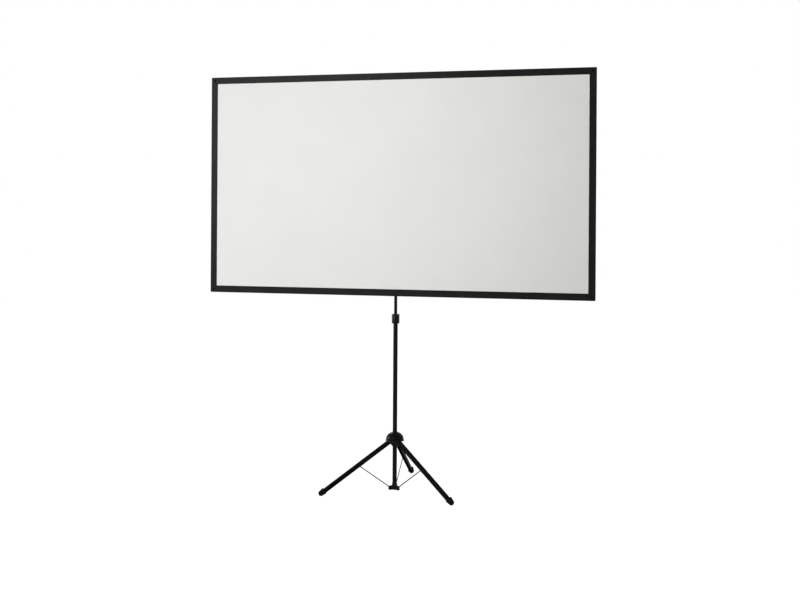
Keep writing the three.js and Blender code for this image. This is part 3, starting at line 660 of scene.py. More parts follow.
def quads(rows, columns, wrap_rows=False, wrap_columns=True):
    """Faces of a grid of rows by columns points, row after row, closed over either way."""
    index = np.arange(rows * columns).reshape(rows, columns)
    if wrap_rows:
        index = np.vstack([index, index[:1]])
    if wrap_columns:
        index = np.hstack([index, index[:, :1]])
    corners = (index[:-1, :-1], index[:-1, 1:], index[1:, 1:], index[1:, :-1])
    return np.stack(corners, axis=-1).reshape(-1, 4).tolist()


def loft(rings):
    """A closed skin through a stack of rings, with a flat cap on the first and the last."""
    rows, columns = rings.shape[:2]
    first = list(range(columns))
    last = [(rows - 1) * columns + i for i in first]
    return rings, quads(rows, columns) + [first[::-1], last]


def hoop(rings):
    """A closed skin through a stack of rings whose last ring joins the first, as round a bore."""
    rows, columns = rings.shape[:2]
    return rings, quads(rows, columns, wrap_rows=True)


def strip_solid(grid):
    """A closed section, one point to a row, carried through the columns, with a flat cap at each end."""
    rows, columns = grid.shape[:2]
    first = [i * columns for i in range(rows)]
    last = [i + columns - 1 for i in first]
    return grid, quads(rows, columns, wrap_rows=True, wrap_columns=False) + [first, last[::-1]]


def polar(r, a, z):
    """Points at radius r, angle a and height z: x = r cos a, y = r sin a."""
    return np.stack([r * np.cos(a), r * np.sin(a), z + 0 * a], axis=-1)


def rings_of(profile, segments):
    """A profile of radius and height carried round Z."""
    profile = np.asarray(profile, dtype=float)
    a = np.linspace(0, 2 * math.pi, segments, endpoint=False)
    return polar(profile[:, :1], a, profile[:, 1:])


def turned(profile, segments):
    """A solid turned about Z from a profile that starts and ends at the axis."""
    return loft(rings_of(profile, segments))


def bored(profile, segments):
    """A solid turned about Z from a closed profile, with a bore right through it."""
    return hoop(rings_of(profile, segments))


def arc(radius, start_deg, stop_deg, steps, x=0.0, y=0.0):
    """Points of a circle's arc about x, y."""
    a = np.radians(np.linspace(start_deg, stop_deg, steps))
    return np.stack([x + radius * np.cos(a), y + radius * np.sin(a)], axis=1)


def foot_edge(radius, outer, low, steps):
    """Quarter circle that rounds a section's lower outer corner."""
    return arc(radius, -90, 0, steps, outer - radius, low + radius)


def head_edge(radius, outer, high, steps):
    """Quarter circle that rounds a section's upper outer corner."""
    return arc(radius, 0, 90, steps, outer - radius, high - radius)


def tube_profile(outer, inner, low, high, roll=TUBE_EDGE):
    """Section of a tube whose outer edges are broken by a small arc."""
    edges = [foot_edge(roll, outer, low, 4), head_edge(roll, outer, high, 4)]
    return np.vstack([*edges, [[inner, high], [inner, low]]])


def chamfered(radius, end):
    """Section from a turned piece's axis over its flat end and a chamfer to its side."""
    wide, high = CHAMFER
    return [[POLE_R, end], [radius - wide, end], [radius, end + high]]


def lay(shell, origin, across, normal, along):
    """A shell moved from a piece's own axes to the object's."""
    points, faces = shell
    return np.asarray(origin) + points @ np.array([across, normal, along], dtype=float), faces


def pin_shell(shaft, half, head, rise):
    """A pin along Z with domed heads: each dome is a quarter ellipse of radius head and height rise."""
    dome = arc(1.0, 0, DOME_STOP_DEG, 7) * [head, rise]
    top = dome + [0, half]
    low = top[::-1] * [1, -1]
    shank = [[shaft, -half], [shaft, half]]
    return turned(np.vstack([low, shank, top]), SEG_PIN)


def inset(line, distance):
    """A closed outline moved inwards along the bisector of its neighbours' direction."""
    run = np.roll(line, -1, axis=0) - np.roll(line, 1, axis=0)
    outward = np.stack([run[:, 1], -run[:, 0]], axis=1) / np.linalg.norm(run, axis=1)[:, None]
    return line - distance * outward


def even(line, count):
    """A closed outline with count points, evenly spaced along it."""
    ends = np.vstack([line, line[:1]])
    at = np.concatenate([[0], np.cumsum(np.linalg.norm(np.diff(ends, axis=0), axis=1))])
    want = np.linspace(0, at[-1], count, endpoint=False)
    return np.stack([np.interp(want, at, ends[:, i]) for i in range(2)], axis=1)


def level(line, z):
    """An outline as a ring at height z."""
    return np.column_stack([line, np.full(len(line), z)])


def plate_rings(line, low, high, edge, steps):
    """Rings of a flat plate on a closed outline, its edges rounded by quarter circles of radius edge."""
    bend = arc(edge, 0, 90, steps)
    up = [level(inset(line, edge - x), high - edge + y) for x, y in bend]
    down = [level(inset(line, edge - x), low + edge - y) for x, y in bend[::-1]]
    return down + up


def plate(line, low, high, edge):
    """A flat plate on a closed outline, with rounded edges."""
    return loft(np.stack(plate_rings(line, low, high, edge, 4)))


def corner_box(half_w, half_d, front_r, back_r, steps):
    """Outline of a box with rounded corners, of radius front_r at -Y and back_r at +Y."""
    corners = ((1, -1, front_r, -90), (1, 1, back_r, 0), (-1, 1, back_r, 90), (-1, -1, front_r, 180))
    arcs = [arc(r, a, a + 90, steps, sx * (half_w - r), sy * (half_d - r)) for sx, sy, r, a in corners]
    return np.vstack(arcs)


def leg_axes(azimuth):
    """Unit vectors outwards, sideways and upwards in a leg's plane."""
    a = math.radians(azimuth)
    out = np.array([math.cos(a), math.sin(a), 0.0])
    side = np.array([-math.sin(a), math.cos(a), 0.0])
    return out, side, np.array(UP)


def pair(shell, azimuth):
    """A shell in a leg's plane, outwards and upwards, on both sides of that plane."""
    out, side, up = leg_axes(azimuth)
    return [lay(shell, ORIGIN, out, up, turn * side) for turn in (1, -1)]


def tilted(azimuth, radius, height, angle):
    """Origin and axes across, normal and along a bar at an angle from straight down in a leg's plane."""
    out, side, up = leg_axes(azimuth)
    along = math.sin(angle) * out - math.cos(angle) * up
    normal = math.cos(angle) * out + math.sin(angle) * up
    return radius * out + height * up, side, normal, along


# Mast and upper tube

def mast_tubes():
    """Two drawn tubes on one axis, as turned sections with broken outer edges."""
    lower = bored(tube_profile(MAST_R, MAST_BORE_R, MAST_BOTTOM_Z, MAST_TOP_Z), SEG_TUBE)
    upper = bored(tube_profile(UPPER_R, UPPER_BORE_R, UPPER_BOTTOM_Z, UPPER_TOP_Z), SEG_UPPER)
    piece("lower_mast_tube", [lower], "mast", "black_tube", "mast_tube")
    piece("upper_mast_tube", [upper], "upper_mast", "black_tube", "upper_tube")


def mast_foot_bracket():
    """Turned socket with a closed floor, and three forked fins that hold the brace pins.

    A fin's outline runs from the socket's floor round a heel arc and up to a nose arc about the pin;
    each fork side is a plate on it, and a thicker web closes the fork below the brace's eye.
    """
    inside = FOOT_BOTTOM_Z + FOOT_FLOOR_T
    mouth = FOOT_SLEEVE_TOP - FOOT_MOUTH_EDGE
    section = np.vstack([
        [[FOOT_POLE_R, FOOT_BOTTOM_Z]],
        foot_edge(FOOT_EDGE, FOOT_SLEEVE_R, FOOT_BOTTOM_Z, 5),
        head_edge(FOOT_TOP_EDGE, FOOT_SLEEVE_R, FOOT_SLEEVE_TOP, 4),
        [[SLEEVE_BORE_R, mouth], [SLEEVE_BORE_R, inside], [FOOT_POLE_R, inside]],
    ])
    shells = [turned(section, SEG_TUBE)]
    root = (SLEEVE_BORE_R + FOOT_SLEEVE_R) / 2
    reach = PIVOT_R + EAR_R
    start = np.vstack([[[root, FOOT_BOTTOM_Z]], foot_edge(EAR_HEEL_R, reach, FOOT_BOTTOM_Z, 8)])
    nose = arc(EAR_R, 0, 90, 10, PIVOT_R, BRACE_FOOT_Z)
    fin = np.vstack([start, nose, [[root, BRACE_FOOT_Z + EAR_R + EAR_ROOT_UP]]])
    fork = plate(even(fin, 96), EAR_FROM, EAR_FROM + EAR_T, EAR_EDGE)
    web_top = BRACE_FOOT_Z - BRACE_EYE_R - TURN_GAP
    notch = [[reach, web_top - WEB_NOTCH], [reach - WEB_NOTCH, web_top]]
    web_half = EAR_FROM + WEB_LAP
    web = plate(np.vstack([start, notch, [[root, web_top]]]), -web_half, web_half, WEB_EDGE)
    for azimuth in AZIMUTH_DEG.values():
        out, side, up = leg_axes(azimuth)
        shells += [*pair(fork, azimuth), lay(web, ORIGIN, out, up, side)]
    piece("mast_foot_bracket", shells, "mast", "black_plastic", "mast_foot")


# Clamp

def clamp_collar_block():
    """Split ring round the mast: a rounded square outside, the bore inside, and two lever ears."""
    top = COLLAR_Z + COLLAR_H
    mid_y = (COLLAR_HALF_W + COLLAR_FRONT_Y) / 2
    half_d = (COLLAR_HALF_W - COLLAR_FRONT_Y) / 2
    line = corner_box(COLLAR_HALF_W, half_d, COLLAR_CORNER_R, COLLAR_CORNER_R, 40) + [0, mid_y]
    a = np.unwrap(np.arctan2(line[:, 1], line[:, 0]))
    turn = np.radians(np.linspace(*COLLAR_TURN_DEG, 140))
    reach = np.interp(turn, a, np.hypot(*line.T), period=2 * math.pi)
    edge = arc(COLLAR_EDGE, 0, 90, 6)
    rows = [(reach - COLLAR_EDGE + x, top - COLLAR_EDGE + y) for x, y in edge]
    rows += [(SLEEVE_BORE_R + COLLAR_BORE_EDGE, top), (SLEEVE_BORE_R, top - COLLAR_BORE_EDGE)]
    rows += [(r, COLLAR_Z + top - z) for r, z in rows[::-1]]
    block = strip_solid(np.stack([polar(r, turn, z) for r, z in rows]))
    ear_x = LEVER_PIN_X - LEVER_EAR_PAST
    ear_w = LEVER_KNUCKLE_R + LEVER_EAR_PAST
    ear_front = LEVER_PIN_Y - LEVER_KNUCKLE_R
    ear_y = (ear_front + LEVER_EAR_BACK_Y) / 2
    ear_d = (LEVER_EAR_BACK_Y - ear_front) / 2
    ear_line = even(corner_box(ear_w, ear_d, LEVER_EAR_R, LEVER_EAR_BACK_R, 10) + [ear_x, ear_y], 64)
    ears = [plate(ear_line, z, z + LEVER_EAR_T, LEVER_EAR_EDGE) for z in (COLLAR_Z, top - LEVER_EAR_T)]
    piece("clamp_collar_block", [block] + ears, "mast", "black_plastic", "clamp_collar",
          finish=PLASTIC_SATIN)


def clamp_lever_flap():
    """Flip lever: a plan outline with a round knuckle, raised between a lower and an upper edge line.

    The height runs from the lower line to the upper one, both broken lines over x, and the outline
    shrinks towards either end by a quarter circle.
    """
    low = COLLAR_Z + LEVER_EAR_T + TURN_GAP
    high = COLLAR_Z + COLLAR_H - LEVER_EAR_T - TURN_GAP
    front = LEVER_PIN_Y - LEVER_T / 2
    back = LEVER_PIN_Y + LEVER_T / 2
    knuckle = arc(LEVER_KNUCKLE_R, -90, 90, 16, LEVER_PIN_X, LEVER_PIN_Y)
    tip_back = arc(LEVER_TIP_R, 90, 180, 5, LEVER_LEFT + LEVER_TIP_R, back - LEVER_TIP_R)
    nose = np.array(LEVER_NOSE) + [LEVER_LEFT, front]
    plan = even(np.vstack([knuckle, tip_back, nose]), 110)
    stops = [LEVER_LEFT + x for x in LEVER_STOPS]
    stops += [LEVER_PIN_X - LEVER_KNUCKLE_R, LEVER_PIN_X + LEVER_KNUCKLE_R]
    lower = low + np.array([*LEVER_FOOT_RISES, 0, 0])
    upper = high - np.array([*LEVER_HEAD_FALLS, 0, 0])
    bend = arc(LEVER_EDGE, 0, 90, 6)
    insets = LEVER_EDGE - np.concatenate([bend[::-1, 0], bend[:, 0]])
    lifts = np.concatenate([LEVER_EDGE - bend[::-1, 1], bend[:, 1] - LEVER_EDGE])
    share = np.repeat([0.0, 1.0], len(bend))
    rings = []
    for d, lift, part in zip(insets, lifts, share):
        line = inset(plan, d)
        z_low = np.interp(line[:, 0], stops, lower)
        z_high = np.interp(line[:, 0], stops, upper)
        rings.append(np.column_stack([line, z_low + part * (z_high - z_low) + lift]))
    piece("clamp_lever_flap", [loft(np.stack(rings))], "lever", "gloss_black_plastic", "clamp_lever")


# Crown dome

def crown_dome_cover():
    """Domed cover: a turned shell, quarter ellipse outside and inside, on a flared brim."""
    body_r = DOME_R - DOME_BRIM
    top_r = DOME_HOLE_R + DOME_TOP_EDGE

    def shell(wide, high, steps):
        """Quarter ellipse from the spring line up to the top edge's radius."""
        stop_deg = math.degrees(math.acos(top_r / wide))
        return arc(1.0, 0, stop_deg, steps) * [wide, high] + [0, DOME_SPRING_Z]

    def brim(extra, steps):
        """Quarter ellipse that flares from the shell out to the brim's edge."""
        flare = arc(1.0, 90, 0, steps) * [DOME_BRIM + extra, DOME_BRIM_H + extra]
        return [DOME_R, DOME_SPRING_Z] - flare

    outer = shell(body_r, DOME_RISE, 40)
    inner = shell(body_r - DOME_WALL, DOME_RISE - DOME_WALL, 24)
    hole = [[DOME_HOLE_R, outer[-1, 1] - DOME_LIP_EDGE], [DOME_HOLE_R, inner[-1, 1]]]
    under = brim(DOME_WALL, 8)[::-1][1:-1]
    lip = [[DOME_R, DOME_SPRING_Z - DOME_BRIM_H - DOME_WALL + DOME_LIP_EDGE]]
    section = np.vstack([brim(0.0, 10), outer[1:], hole, inner[::-1], under, lip])
    cover = bored(section, SEG_DOME)
    piece("crown_dome_cover", [cover], "crown", "gloss_black_plastic", "crown_dome", sharp_deg=50.0)


def skirt_block(low, high):
    """What two leg slots leave of the turned skirt between them, about the X axis.

    At radius r the slot's flat wall is 60 - asin(w / r) degrees off, where w is the slot's half width.
    """
    foot = foot_edge(SKIRT_EDGE, SKIRT_R, low, 8)
    inside = (SLEEVE_BORE_R + CROWN_SLEEVE_R) / 2
    section = np.vstack([foot, [[SKIRT_R, high], [inside, high], [inside, low]]])
    r, z = section[:, :1], section[:, 1:]
    a = (math.pi / 3 - np.arcsin(CHEEK_IN / r)) * np.linspace(-1, 1, 36)
    return strip_solid(polar(r, a, z))


def crown_casting():
    """Crown body: a bored sleeve, a roof disc, three skirt blocks and six cheeks that hold the leg pins.

    A cheek is a plate whose lower outer corner is a quarter circle.
    """
    low = CROWN_Z - CROWN_BELOW
    roof_z = CROWN_Z + ROOF_UP
    top = roof_z + ROOF_T / 2
    sleeve = tube_profile(CROWN_SLEEVE_R, SLEEVE_BORE_R, low, CROWN_Z + CROWN_ABOVE, CROWN_SLEEVE_EDGE)
    roof = tube_profile(ROOF_R, SLEEVE_BORE_R + ROOF_LAP, roof_z, roof_z + ROOF_T, ROOF_EDGE)
    shells = [bored(sleeve, SEG_TUBE), bored(roof, SEG_ROOF)]
    block = skirt_block(CROWN_Z - SKIRT_BELOW, top)
    reach = PIVOT_R + CHEEK_REACH
    foot = CROWN_Z - CHEEK_BELOW
    corner = foot_edge(CHEEK_ROUND, reach, foot, 12)
    line = np.vstack([[[CHEEK_FROM_R, foot]], corner, [[reach, top], [CHEEK_FROM_R, top]]])
    cheek = plate(even(line, 110), CHEEK_IN, CHEEK_OUT, CHEEK_EDGE)
    for azimuth in AZIMUTH_DEG.values():
        shells += [*pair(cheek, azimuth), lay(block, ORIGIN, *leg_axes(azimuth + 60))]
    piece("crown_body_casting", shells, "crown", "black_plastic", "crown_body")


# Legs, feet, braces and their pins

def channel_shell():
    """Leg channel: an open U section carried along Z, its near end rounded to a half circle.

    The skin runs along the outside and back along the inside. At the near end a point at depth y starts
    at -sqrt(D^2 - y^2), and the wall's two ends are broken over a quarter of its thickness.
    """
    bend = LEG_BACK_R
    cx = LEG_HALF_W - bend
    cy = LEG_HALF_D - bend
    ends = np.linspace(0, LEG_END, 12)

    def section(wall):
        """Right lip to left lip round the back, at a depth in the wall."""
        w = LEG_HALF_W - wall
        right = arc(bend - wall, 0, 90, 14, cx, cy)
        left = arc(bend - wall, 90, 180, 14, -cx, cy)
        return np.vstack([[[w, -LEG_HALF_D]], right, left, [[-w, -LEG_HALF_D]]])

    def near(line):
        """Heights at which a line of the section starts."""
        return -np.sqrt(np.maximum(0.0, LEG_HALF_D ** 2 - line[:, 1] ** 2))

    def run(line, t):
        """A line of the section at the length t, drawn in at the wall's broken ends."""
        z = LEG_END_EDGE + near(line) * (1 - t / LEG_END) + t * (1 - 2 * LEG_END_EDGE / LEG_END)
        return np.column_stack([line, z])

    outer, inner = section(0.0), section(LEG_WALL)
    edges = (outer * 3 + inner) / 4, (outer + inner * 3) / 4
    first, last = (np.column_stack([line, near(line)]) for line in edges)
    there = [run(outer, t) for t in ends]
    turn = [level(line, LEG_END) for line in edges]
    back = [run(inner, t) for t in ends[::-1]]
    return strip_solid(np.stack([first, *there, *turn, *back, last]))


def boot_shell():
    """Rubber foot along Z: a rounded box with a thicker mouth, eased into a ball, hollow for the leg.

    Over the last stretch of the sleeve the half sizes and corners ease from the box's to the ball's by
    a smooth step; beyond the leg's length the section is a circle of radius sqrt(R^2 - s^2).
    """
    start = LEG_LEN - RUBBER_BEFORE
    box_w = LEG_HALF_W + RUBBER_T
    box_d = LEG_HALF_D + RUBBER_T
    socket = corner_box(LEG_HALF_W + GAP, LEG_HALF_D + GAP, RUBBER_SOCKET_R, LEG_BACK_R + GAP, 10)
    rings = [level(socket, LEG_END + GAP), level(socket, start + RUBBER_MOUTH)]
    for s, rise in RUBBER_LIP:
        r = RUBBER_CORNER_R + rise
        rings.append(level(corner_box(box_w + rise, box_d + rise, r, r, 10), start + s))
    for t in np.linspace(0.0, 1.0, 10):
        ease = t * t * (3 - 2 * t)
        w = box_w + (RUBBER_BALL_R - box_w) * ease
        d = box_d + (RUBBER_BALL_R - box_d) * ease
        r = min(w, d, RUBBER_CORNER_R + (RUBBER_BALL_R - RUBBER_CORNER_R) * ease)
        z = start + RUBBER_NECK + (RUBBER_BEFORE - RUBBER_NECK) * t
        rings.append(level(corner_box(w, d, r, r, 10), z))
    for r, rise in arc(RUBBER_BALL_R, *RUBBER_BALL_DEG, 18):
        rings.append(level(corner_box(r, r, r, r, 10), LEG_LEN + rise))
    return loft(np.stack(rings))


def brace_shell():
    """Brace strip along Z: a flat bar with rounded edges that widens to a round eye at each end.

    The half width at s from an eye's centre is the larger of the eye's circle sqrt(R^2 - s^2) and a
    neck that falls from the eye's to the bar's as exp(-s^2 / q); the half thickness eases with it.
    """
    tip = -BRACE_EYE_R * np.cos(np.linspace(BRACE_TIP_TURN, math.pi / 2, 12))
    near = np.concatenate([tip, np.linspace(BRACE_NECK_FROM, BRACE_NECK_LEN, 16)])
    s = np.concatenate([near, BRACE_LEN - near[::-1]])
    from_eye = np.minimum(s, BRACE_LEN - s)
    eye = np.sqrt(np.maximum(0.0, BRACE_EYE_R ** 2 - np.minimum(from_eye, BRACE_EYE_R) ** 2))
    fall = np.exp(-np.maximum(from_eye, 0.0) ** 2 / BRACE_NECK_SQ)
    neck = BRACE_HALF_W + (BRACE_EYE_R - BRACE_HALF_W) * fall
    wide = np.where(from_eye > 0, np.maximum(neck, eye), eye)
    thick = BRACE_HALF_T + (BRACE_EYE_T / 2 - BRACE_HALF_T) * fall
    edge = np.minimum(BRACE_EDGE + (BRACE_EYE_EDGE - BRACE_EDGE) * fall, BRACE_ROUND_SHARE * wide)
    rings = [level(corner_box(t, w, r, r, 6), z) for t, w, r, z in zip(thick, wide, edge, s)]
    return loft(np.stack(rings))


def tripod():
    """Three legs with rubber feet, three braces and nine pins, each laid in its leg's plane."""
    channel = channel_shell()
    boot = boot_shell()
    strip = brace_shell()
    leg_pin = pin_shell(LEG_PIN_R, LEG_PIN_HALF, PIN_HEAD_R, PIN_HEAD_H)
    rivet = pin_shell(BRACE_PIN_R, LEG_HALF_W + GAP, SMALL_HEAD_R, SMALL_HEAD_H)
    brace_pin = pin_shell(BRACE_PIN_R, EAR_FROM + EAR_T + GAP, SMALL_HEAD_R, SMALL_HEAD_H)
    for side, azimuth in AZIMUTH_DEG.items():
        leg = tilted(azimuth, PIVOT_R, CROWN_Z, SPLAY)
        link = tilted(azimuth, PIVOT_R, BRACE_FOOT_Z, math.pi - BRACE_LEAN)
        origin, across, normal, along = leg
        joint = origin - BRACE_SET * normal + BRACE_AT * along
        points, faces = lay(boot, *leg)
        points[..., 2] = np.maximum(points[..., 2], 0.0)
        body = f"leg_{side}"
        coat = tube_black(f"tube_black_coat_leg_{side}", tuple(along), gloss=0.02)
        steel = blackened(f"brace_strip_steel_{side}", *BRACE_TONES, tuple(link[3]))
        piece(f"leg_{side}_channel", [lay(channel, *leg)], body, "black_tube", f"leg_channel_{side}",
              finish=coat)
        piece(f"leg_{side}_rubber_foot", [(points, faces)], body, "rubber", f"leg_foot_{side}")
        piece(f"brace_{side}_strip", [lay(strip, *link)], f"link_{side}", "wire_steel", f"brace_{side}",
              finish=steel)
        piece(f"leg_{side}_pin", [lay(leg_pin, origin, normal, along, across)], "crown", "steel",
              f"leg_pin_{side}")
        piece(f"brace_{side}_rivet", [lay(rivet, joint, normal, along, across)], body, "steel",
              f"brace_rivet_{side}")
        piece(f"brace_{side}_pin", [lay(brace_pin, link[0], link[2], link[3], across)], "mast", "steel",
              f"brace_pin_{side}")


# Arms behind the sheet

RIVET_X = SHEET_W / 2 - RIVET_INSET
RIVET_Z = SHEET_H / 2 - RIVET_INSET
RIVET_REACH = math.hypot(RIVET_X, RIVET_Z) - ARM_PIVOT_R
ARM_RISE = math.atan2(RIVET_Z, RIVET_X)
CORNER_ANGLE = {
    "upper_right": ARM_RISE,
    "upper_left": math.pi - ARM_RISE,
    "lower_left": math.pi + ARM_RISE,
    "lower_right": 2 * math.pi - ARM_RISE,
}


def fork_shells():
    """Arm fork along Z: two cheeks on one outline astride the hub's plate, a block and a spigot."""
    shoulder = FORK_LEN - FORK_TAPER
    head = [[FORK_HALF_W, shoulder], [OUTER_R, FORK_LEN], [-OUTER_R, FORK_LEN], [-FORK_HALF_W, shoulder]]
    line = even(np.vstack([arc(FORK_HALF_W, 180, 360, 24), head]), 110)
    cheek = plate(line, FORK_SLOT, FORK_HALF_T, FORK_EDGE)
    inner = np.vstack([[[-FORK_HALF_W, FORK_SLOT_END], [FORK_HALF_W, FORK_SLOT_END]], head])
    block_half = FORK_SLOT + FORK_BLOCK_LAP
    block = plate(even(inner, 80), -block_half, block_half, FORK_BLOCK_EDGE)
    across, normal, rear = FACE_ON
    front = (0, -1, 0)
    sides = [lay(cheek, ORIGIN, across, normal, way) for way in (rear, front)]
    low, high = FORK_LEN - FORK_SPIGOT_LAP, FORK_SPIGOT_END
    spigot = [[POLE_R, low], [FORK_SPIGOT_R, low], [FORK_SPIGOT_R, high], [POLE_R, high]]
    return sides + [lay(block, ORIGIN, *FACE_ON), turned(spigot, SEG_ROD)]


def shoe_shells(hand):
    """Corner shoe along Z: a floor with a round end, an end wall and a side wall, edges rounded.

    The side wall is at +X where hand is 1 and at -X where it is -1.
    """
    stop = RIVET_REACH - SHOE_BEFORE_RIVET
    start = stop - SHOE_LEN
    wall_to = stop + SHOE_END_T
    tail = [[-SHOE_HALF_W, start], [SHOE_HALF_W, start]]
    plan = np.vstack([arc(SHOE_HALF_W, 0, 180, 24, 0.0, RIVET_REACH), tail])
    floor = plate(even(plan, 130), SHOE_FLOOR_Y, SHOE_FLOOR_Y + SHOE_FLOOR_T, SHOE_EDGE)
    end_half = (SHOE_FLOOR_T + SHOE_END_H) / 2
    end_at = [0, SHOE_FLOOR_Y + end_half]
    end_line = corner_box(SHOE_HALF_W, end_half, SHOE_FOOT_R, SHOE_END_R, 8) + end_at
    end = plate(even(end_line, 90), stop, wall_to, SHOE_END_EDGE)
    side_half = (SHOE_FLOOR_T + SHOE_SIDE_H) / 2
    side_len = (wall_to - start - SHOE_SIDE_INSET) / 2
    side_at = [wall_to - side_len, SHOE_FLOOR_Y + side_half]
    side_line = corner_box(side_len, side_half, SHOE_FOOT_R, SHOE_SIDE_R, 8) + side_at
    side = plate(even(side_line, 120), SHOE_HALF_W - SHOE_WALL, SHOE_HALF_W, SHOE_EDGE)
    side_axes = ((0, 0, 1), (0, 1, 0), (hand, 0, 0))
    return [lay(floor, ORIGIN, *FACE_ON), end, lay(side, ORIGIN, *side_axes)]


def rivet_shell():
    """Corner rivet along Z towards the viewer: a raised ring round a shallow dish, a shaft and a tail."""
    face = -SHEET_BACK_Y + SHEET_T + BORDER_T + RIVET_SEAT
    tail = -SHOE_BACK_Y - RIVET_SEAT
    back = chamfered(RIVET_TAIL_R, tail - RIVET_TAIL_H)
    shaft = [[RIVET_TAIL_R, tail], [RIVET_R, tail], [RIVET_R, face]]
    ring = arc(1.0, 0, 90, 8) * [RIVET_HEAD_R - RIVET_RING_R, RIVET_HEAD_H] + [RIVET_RING_R, face]
    dish = [[r, face + RIVET_HEAD_H - depth] for r, depth in RIVET_DISH]
    return turned(np.vstack([back, shaft, ring, dish]), SEG_ROD)


def arms():
    """Four telescopic arms with their pins and forks, and the corner shoes and rivets beyond them.

    An arm is an outer tube with a swaged mouth, an inner tube and a bullet tip with a groove.
    """
    tip_end = RIVET_REACH - TIP_BEFORE_RIVET
    tip_start = tip_end - TIP_LEN
    mouth = [[OUTER_R - drop, OUTER_END - back] for back, drop in SWAGE]
    bore = [[OUTER_BORE_R, OUTER_END], [OUTER_BORE_R, OUTER_START]]
    outer = np.vstack([foot_edge(TUBE_EDGE, OUTER_R, OUTER_START, 4), mouth, bore])
    inner = tube_profile(INNER_R, INNER_BORE_R, INNER_START, tip_start - GAP, INNER_EDGE)
    spigot_r = INNER_BORE_R - GAP
    spigot_z = tip_start - TIP_SPIGOT
    cap = np.vstack([
        [[POLE_R, spigot_z], [spigot_r, spigot_z], [spigot_r, tip_start]],
        foot_edge(TIP_EDGE, TIP_R, tip_start, 4),
        [[TIP_R - drop, tip_start + up] for up, drop in TIP_GROOVE],
        arc(TIP_R, 0, DOME_STOP_DEG, 12, 0.0, tip_end - TIP_R),
    ])
    shells = {
        "outer_tube": (bored(outer, SEG_ARM), "arm", "black_tube", "arm_outer"),
        "inner_tube": (bored(inner, SEG_INNER), "arm_end", "bare_tube", "arm_inner"),
        "tip": (turned(cap, SEG_INNER), "arm_end", "black_plastic", "arm_tip"),
    }
    pin = pin_shell(ARM_PIN_R, ARM_PIN_HALF, PIN_HEAD_R, PIN_HEAD_H)
    rivet = rivet_shell()
    fork = fork_shells()
    rear = np.array([0.0, 1.0, 0.0])
    for corner, angle in CORNER_ANGLE.items():
        along = np.array([math.cos(angle), 0.0, math.sin(angle)])
        across = np.cross(rear, along)
        pivot = np.array([0.0, ARM_Y, SHEET_MID_Z]) + ARM_PIVOT_R * along
        end = pivot + RIVET_REACH * along
        hand = round(math.copysign(1, math.cos(angle) * math.sin(angle)))
        arm = (pivot, across, rear, along)
        finish = {
            "outer_tube": tube_black(f"tube_black_coat_arm_{corner}", tuple(along)),
            "inner_tube": drawn_alloy(f"drawn_alloy_tube_{corner}", tuple(along)),
        }
        for part, (shell, body, slot, node) in shells.items():
            piece(f"arm_{corner}_{part}", [lay(shell, *arm)], f"{body}_{corner}", slot,
                  f"{node}_{corner}", finish=finish.get(part))
        pins = [lay(pin, pivot, along, across, rear)]
        forks = [lay(shell, *arm) for shell in fork]
        shoes = [lay(shell, *arm) for shell in shoe_shells(hand)]
        rivets = [lay(rivet, (end[0], 0, end[2]), across, along, -rear)]
        piece(f"arm_{corner}_pin", pins, "hub", "steel", f"arm_pin_{corner}")
        piece(f"arm_{corner}_fork", forks, f"arm_{corner}", "black_plastic", f"arm_fork_{corner}")
        piece(f"corner_{corner}_shoe", shoes, "screen", "black_plastic", f"corner_shoe_{corner}")
        piece(f"corner_{corner}_rivet", rivets, "screen", "dark_rivet", f"corner_rivet_{corner}")


# Cross hub and knob

def hub_casting():
    """Cross hub: a turned sleeve with a closed top, a four-lobed plate and a boss for the clamp stud.

    The plate's outline is r = (disc^p + bars^p)^(1/p) over the angle, where a bar's reach is its round
    end's circle near its axis and its half width over the sine further off, so that fillets are left.
    """
    low = SHEET_MID_Z - HUB_HALF_H
    top = SHEET_MID_Z + HUB_HALF_H
    bore = [[POLE_R, top - HUB_ROOF_T], [HUB_BORE_R, top - HUB_ROOF_T], [HUB_BORE_R, low]]
    foot = foot_edge(HUB_FOOT_EDGE, HUB_R, low, 5)
    crest = head_edge(HUB_EDGE, HUB_R, top, 8)
    sleeve = turned(np.vstack([bore, foot, crest, [[POLE_R, top]]]), SEG_TUBE)
    a = np.linspace(0, 2 * math.pi, 288, endpoint=False)
    total = HUB_CENTRE_R ** HUB_FILLET_POWER + 0 * a
    for angle in CORNER_ANGLE.values():
        sine, cosine = np.abs(np.sin(a - angle)), np.cos(a - angle)
        root = np.sqrt(np.maximum(HUB_LOBE_R ** 2 - (ARM_PIVOT_R * sine) ** 2, 0))
        side = HUB_LOBE_R / np.maximum(sine, TINY)
        reach = np.where(ARM_PIVOT_R * sine < HUB_LOBE_R, ARM_PIVOT_R * cosine + root, side)
        total += np.where(cosine > 0, np.maximum(reach, 0), 0) ** HUB_FILLET_POWER
    line = even(polar(total ** (1 / HUB_FILLET_POWER), a, 0.0)[:, :2], 320)
    arms_plate = plate(line, ARM_Y - HUB_PLATE_T / 2, ARM_Y + HUB_PLATE_T / 2, HUB_PLATE_EDGE)
    rim = head_edge(BOSS_EDGE, BOSS_R, BOSS_END_Y, 6)
    hole = STUD_R + GAP
    section = np.vstack([[[hole, BOSS_FROM_Y], [BOSS_R, BOSS_FROM_Y]], rim, [[hole, BOSS_END_Y]]])
    boss = bored(section, SEG_BOSS)
    middle = (0, 0, SHEET_MID_Z)
    shells = [sleeve, lay(arms_plate, middle, *FACE_ON), lay(boss, middle, *ROUND_Y)]
    piece("cross_hub_casting", shells, "hub", "black_plastic", "cross_hub")


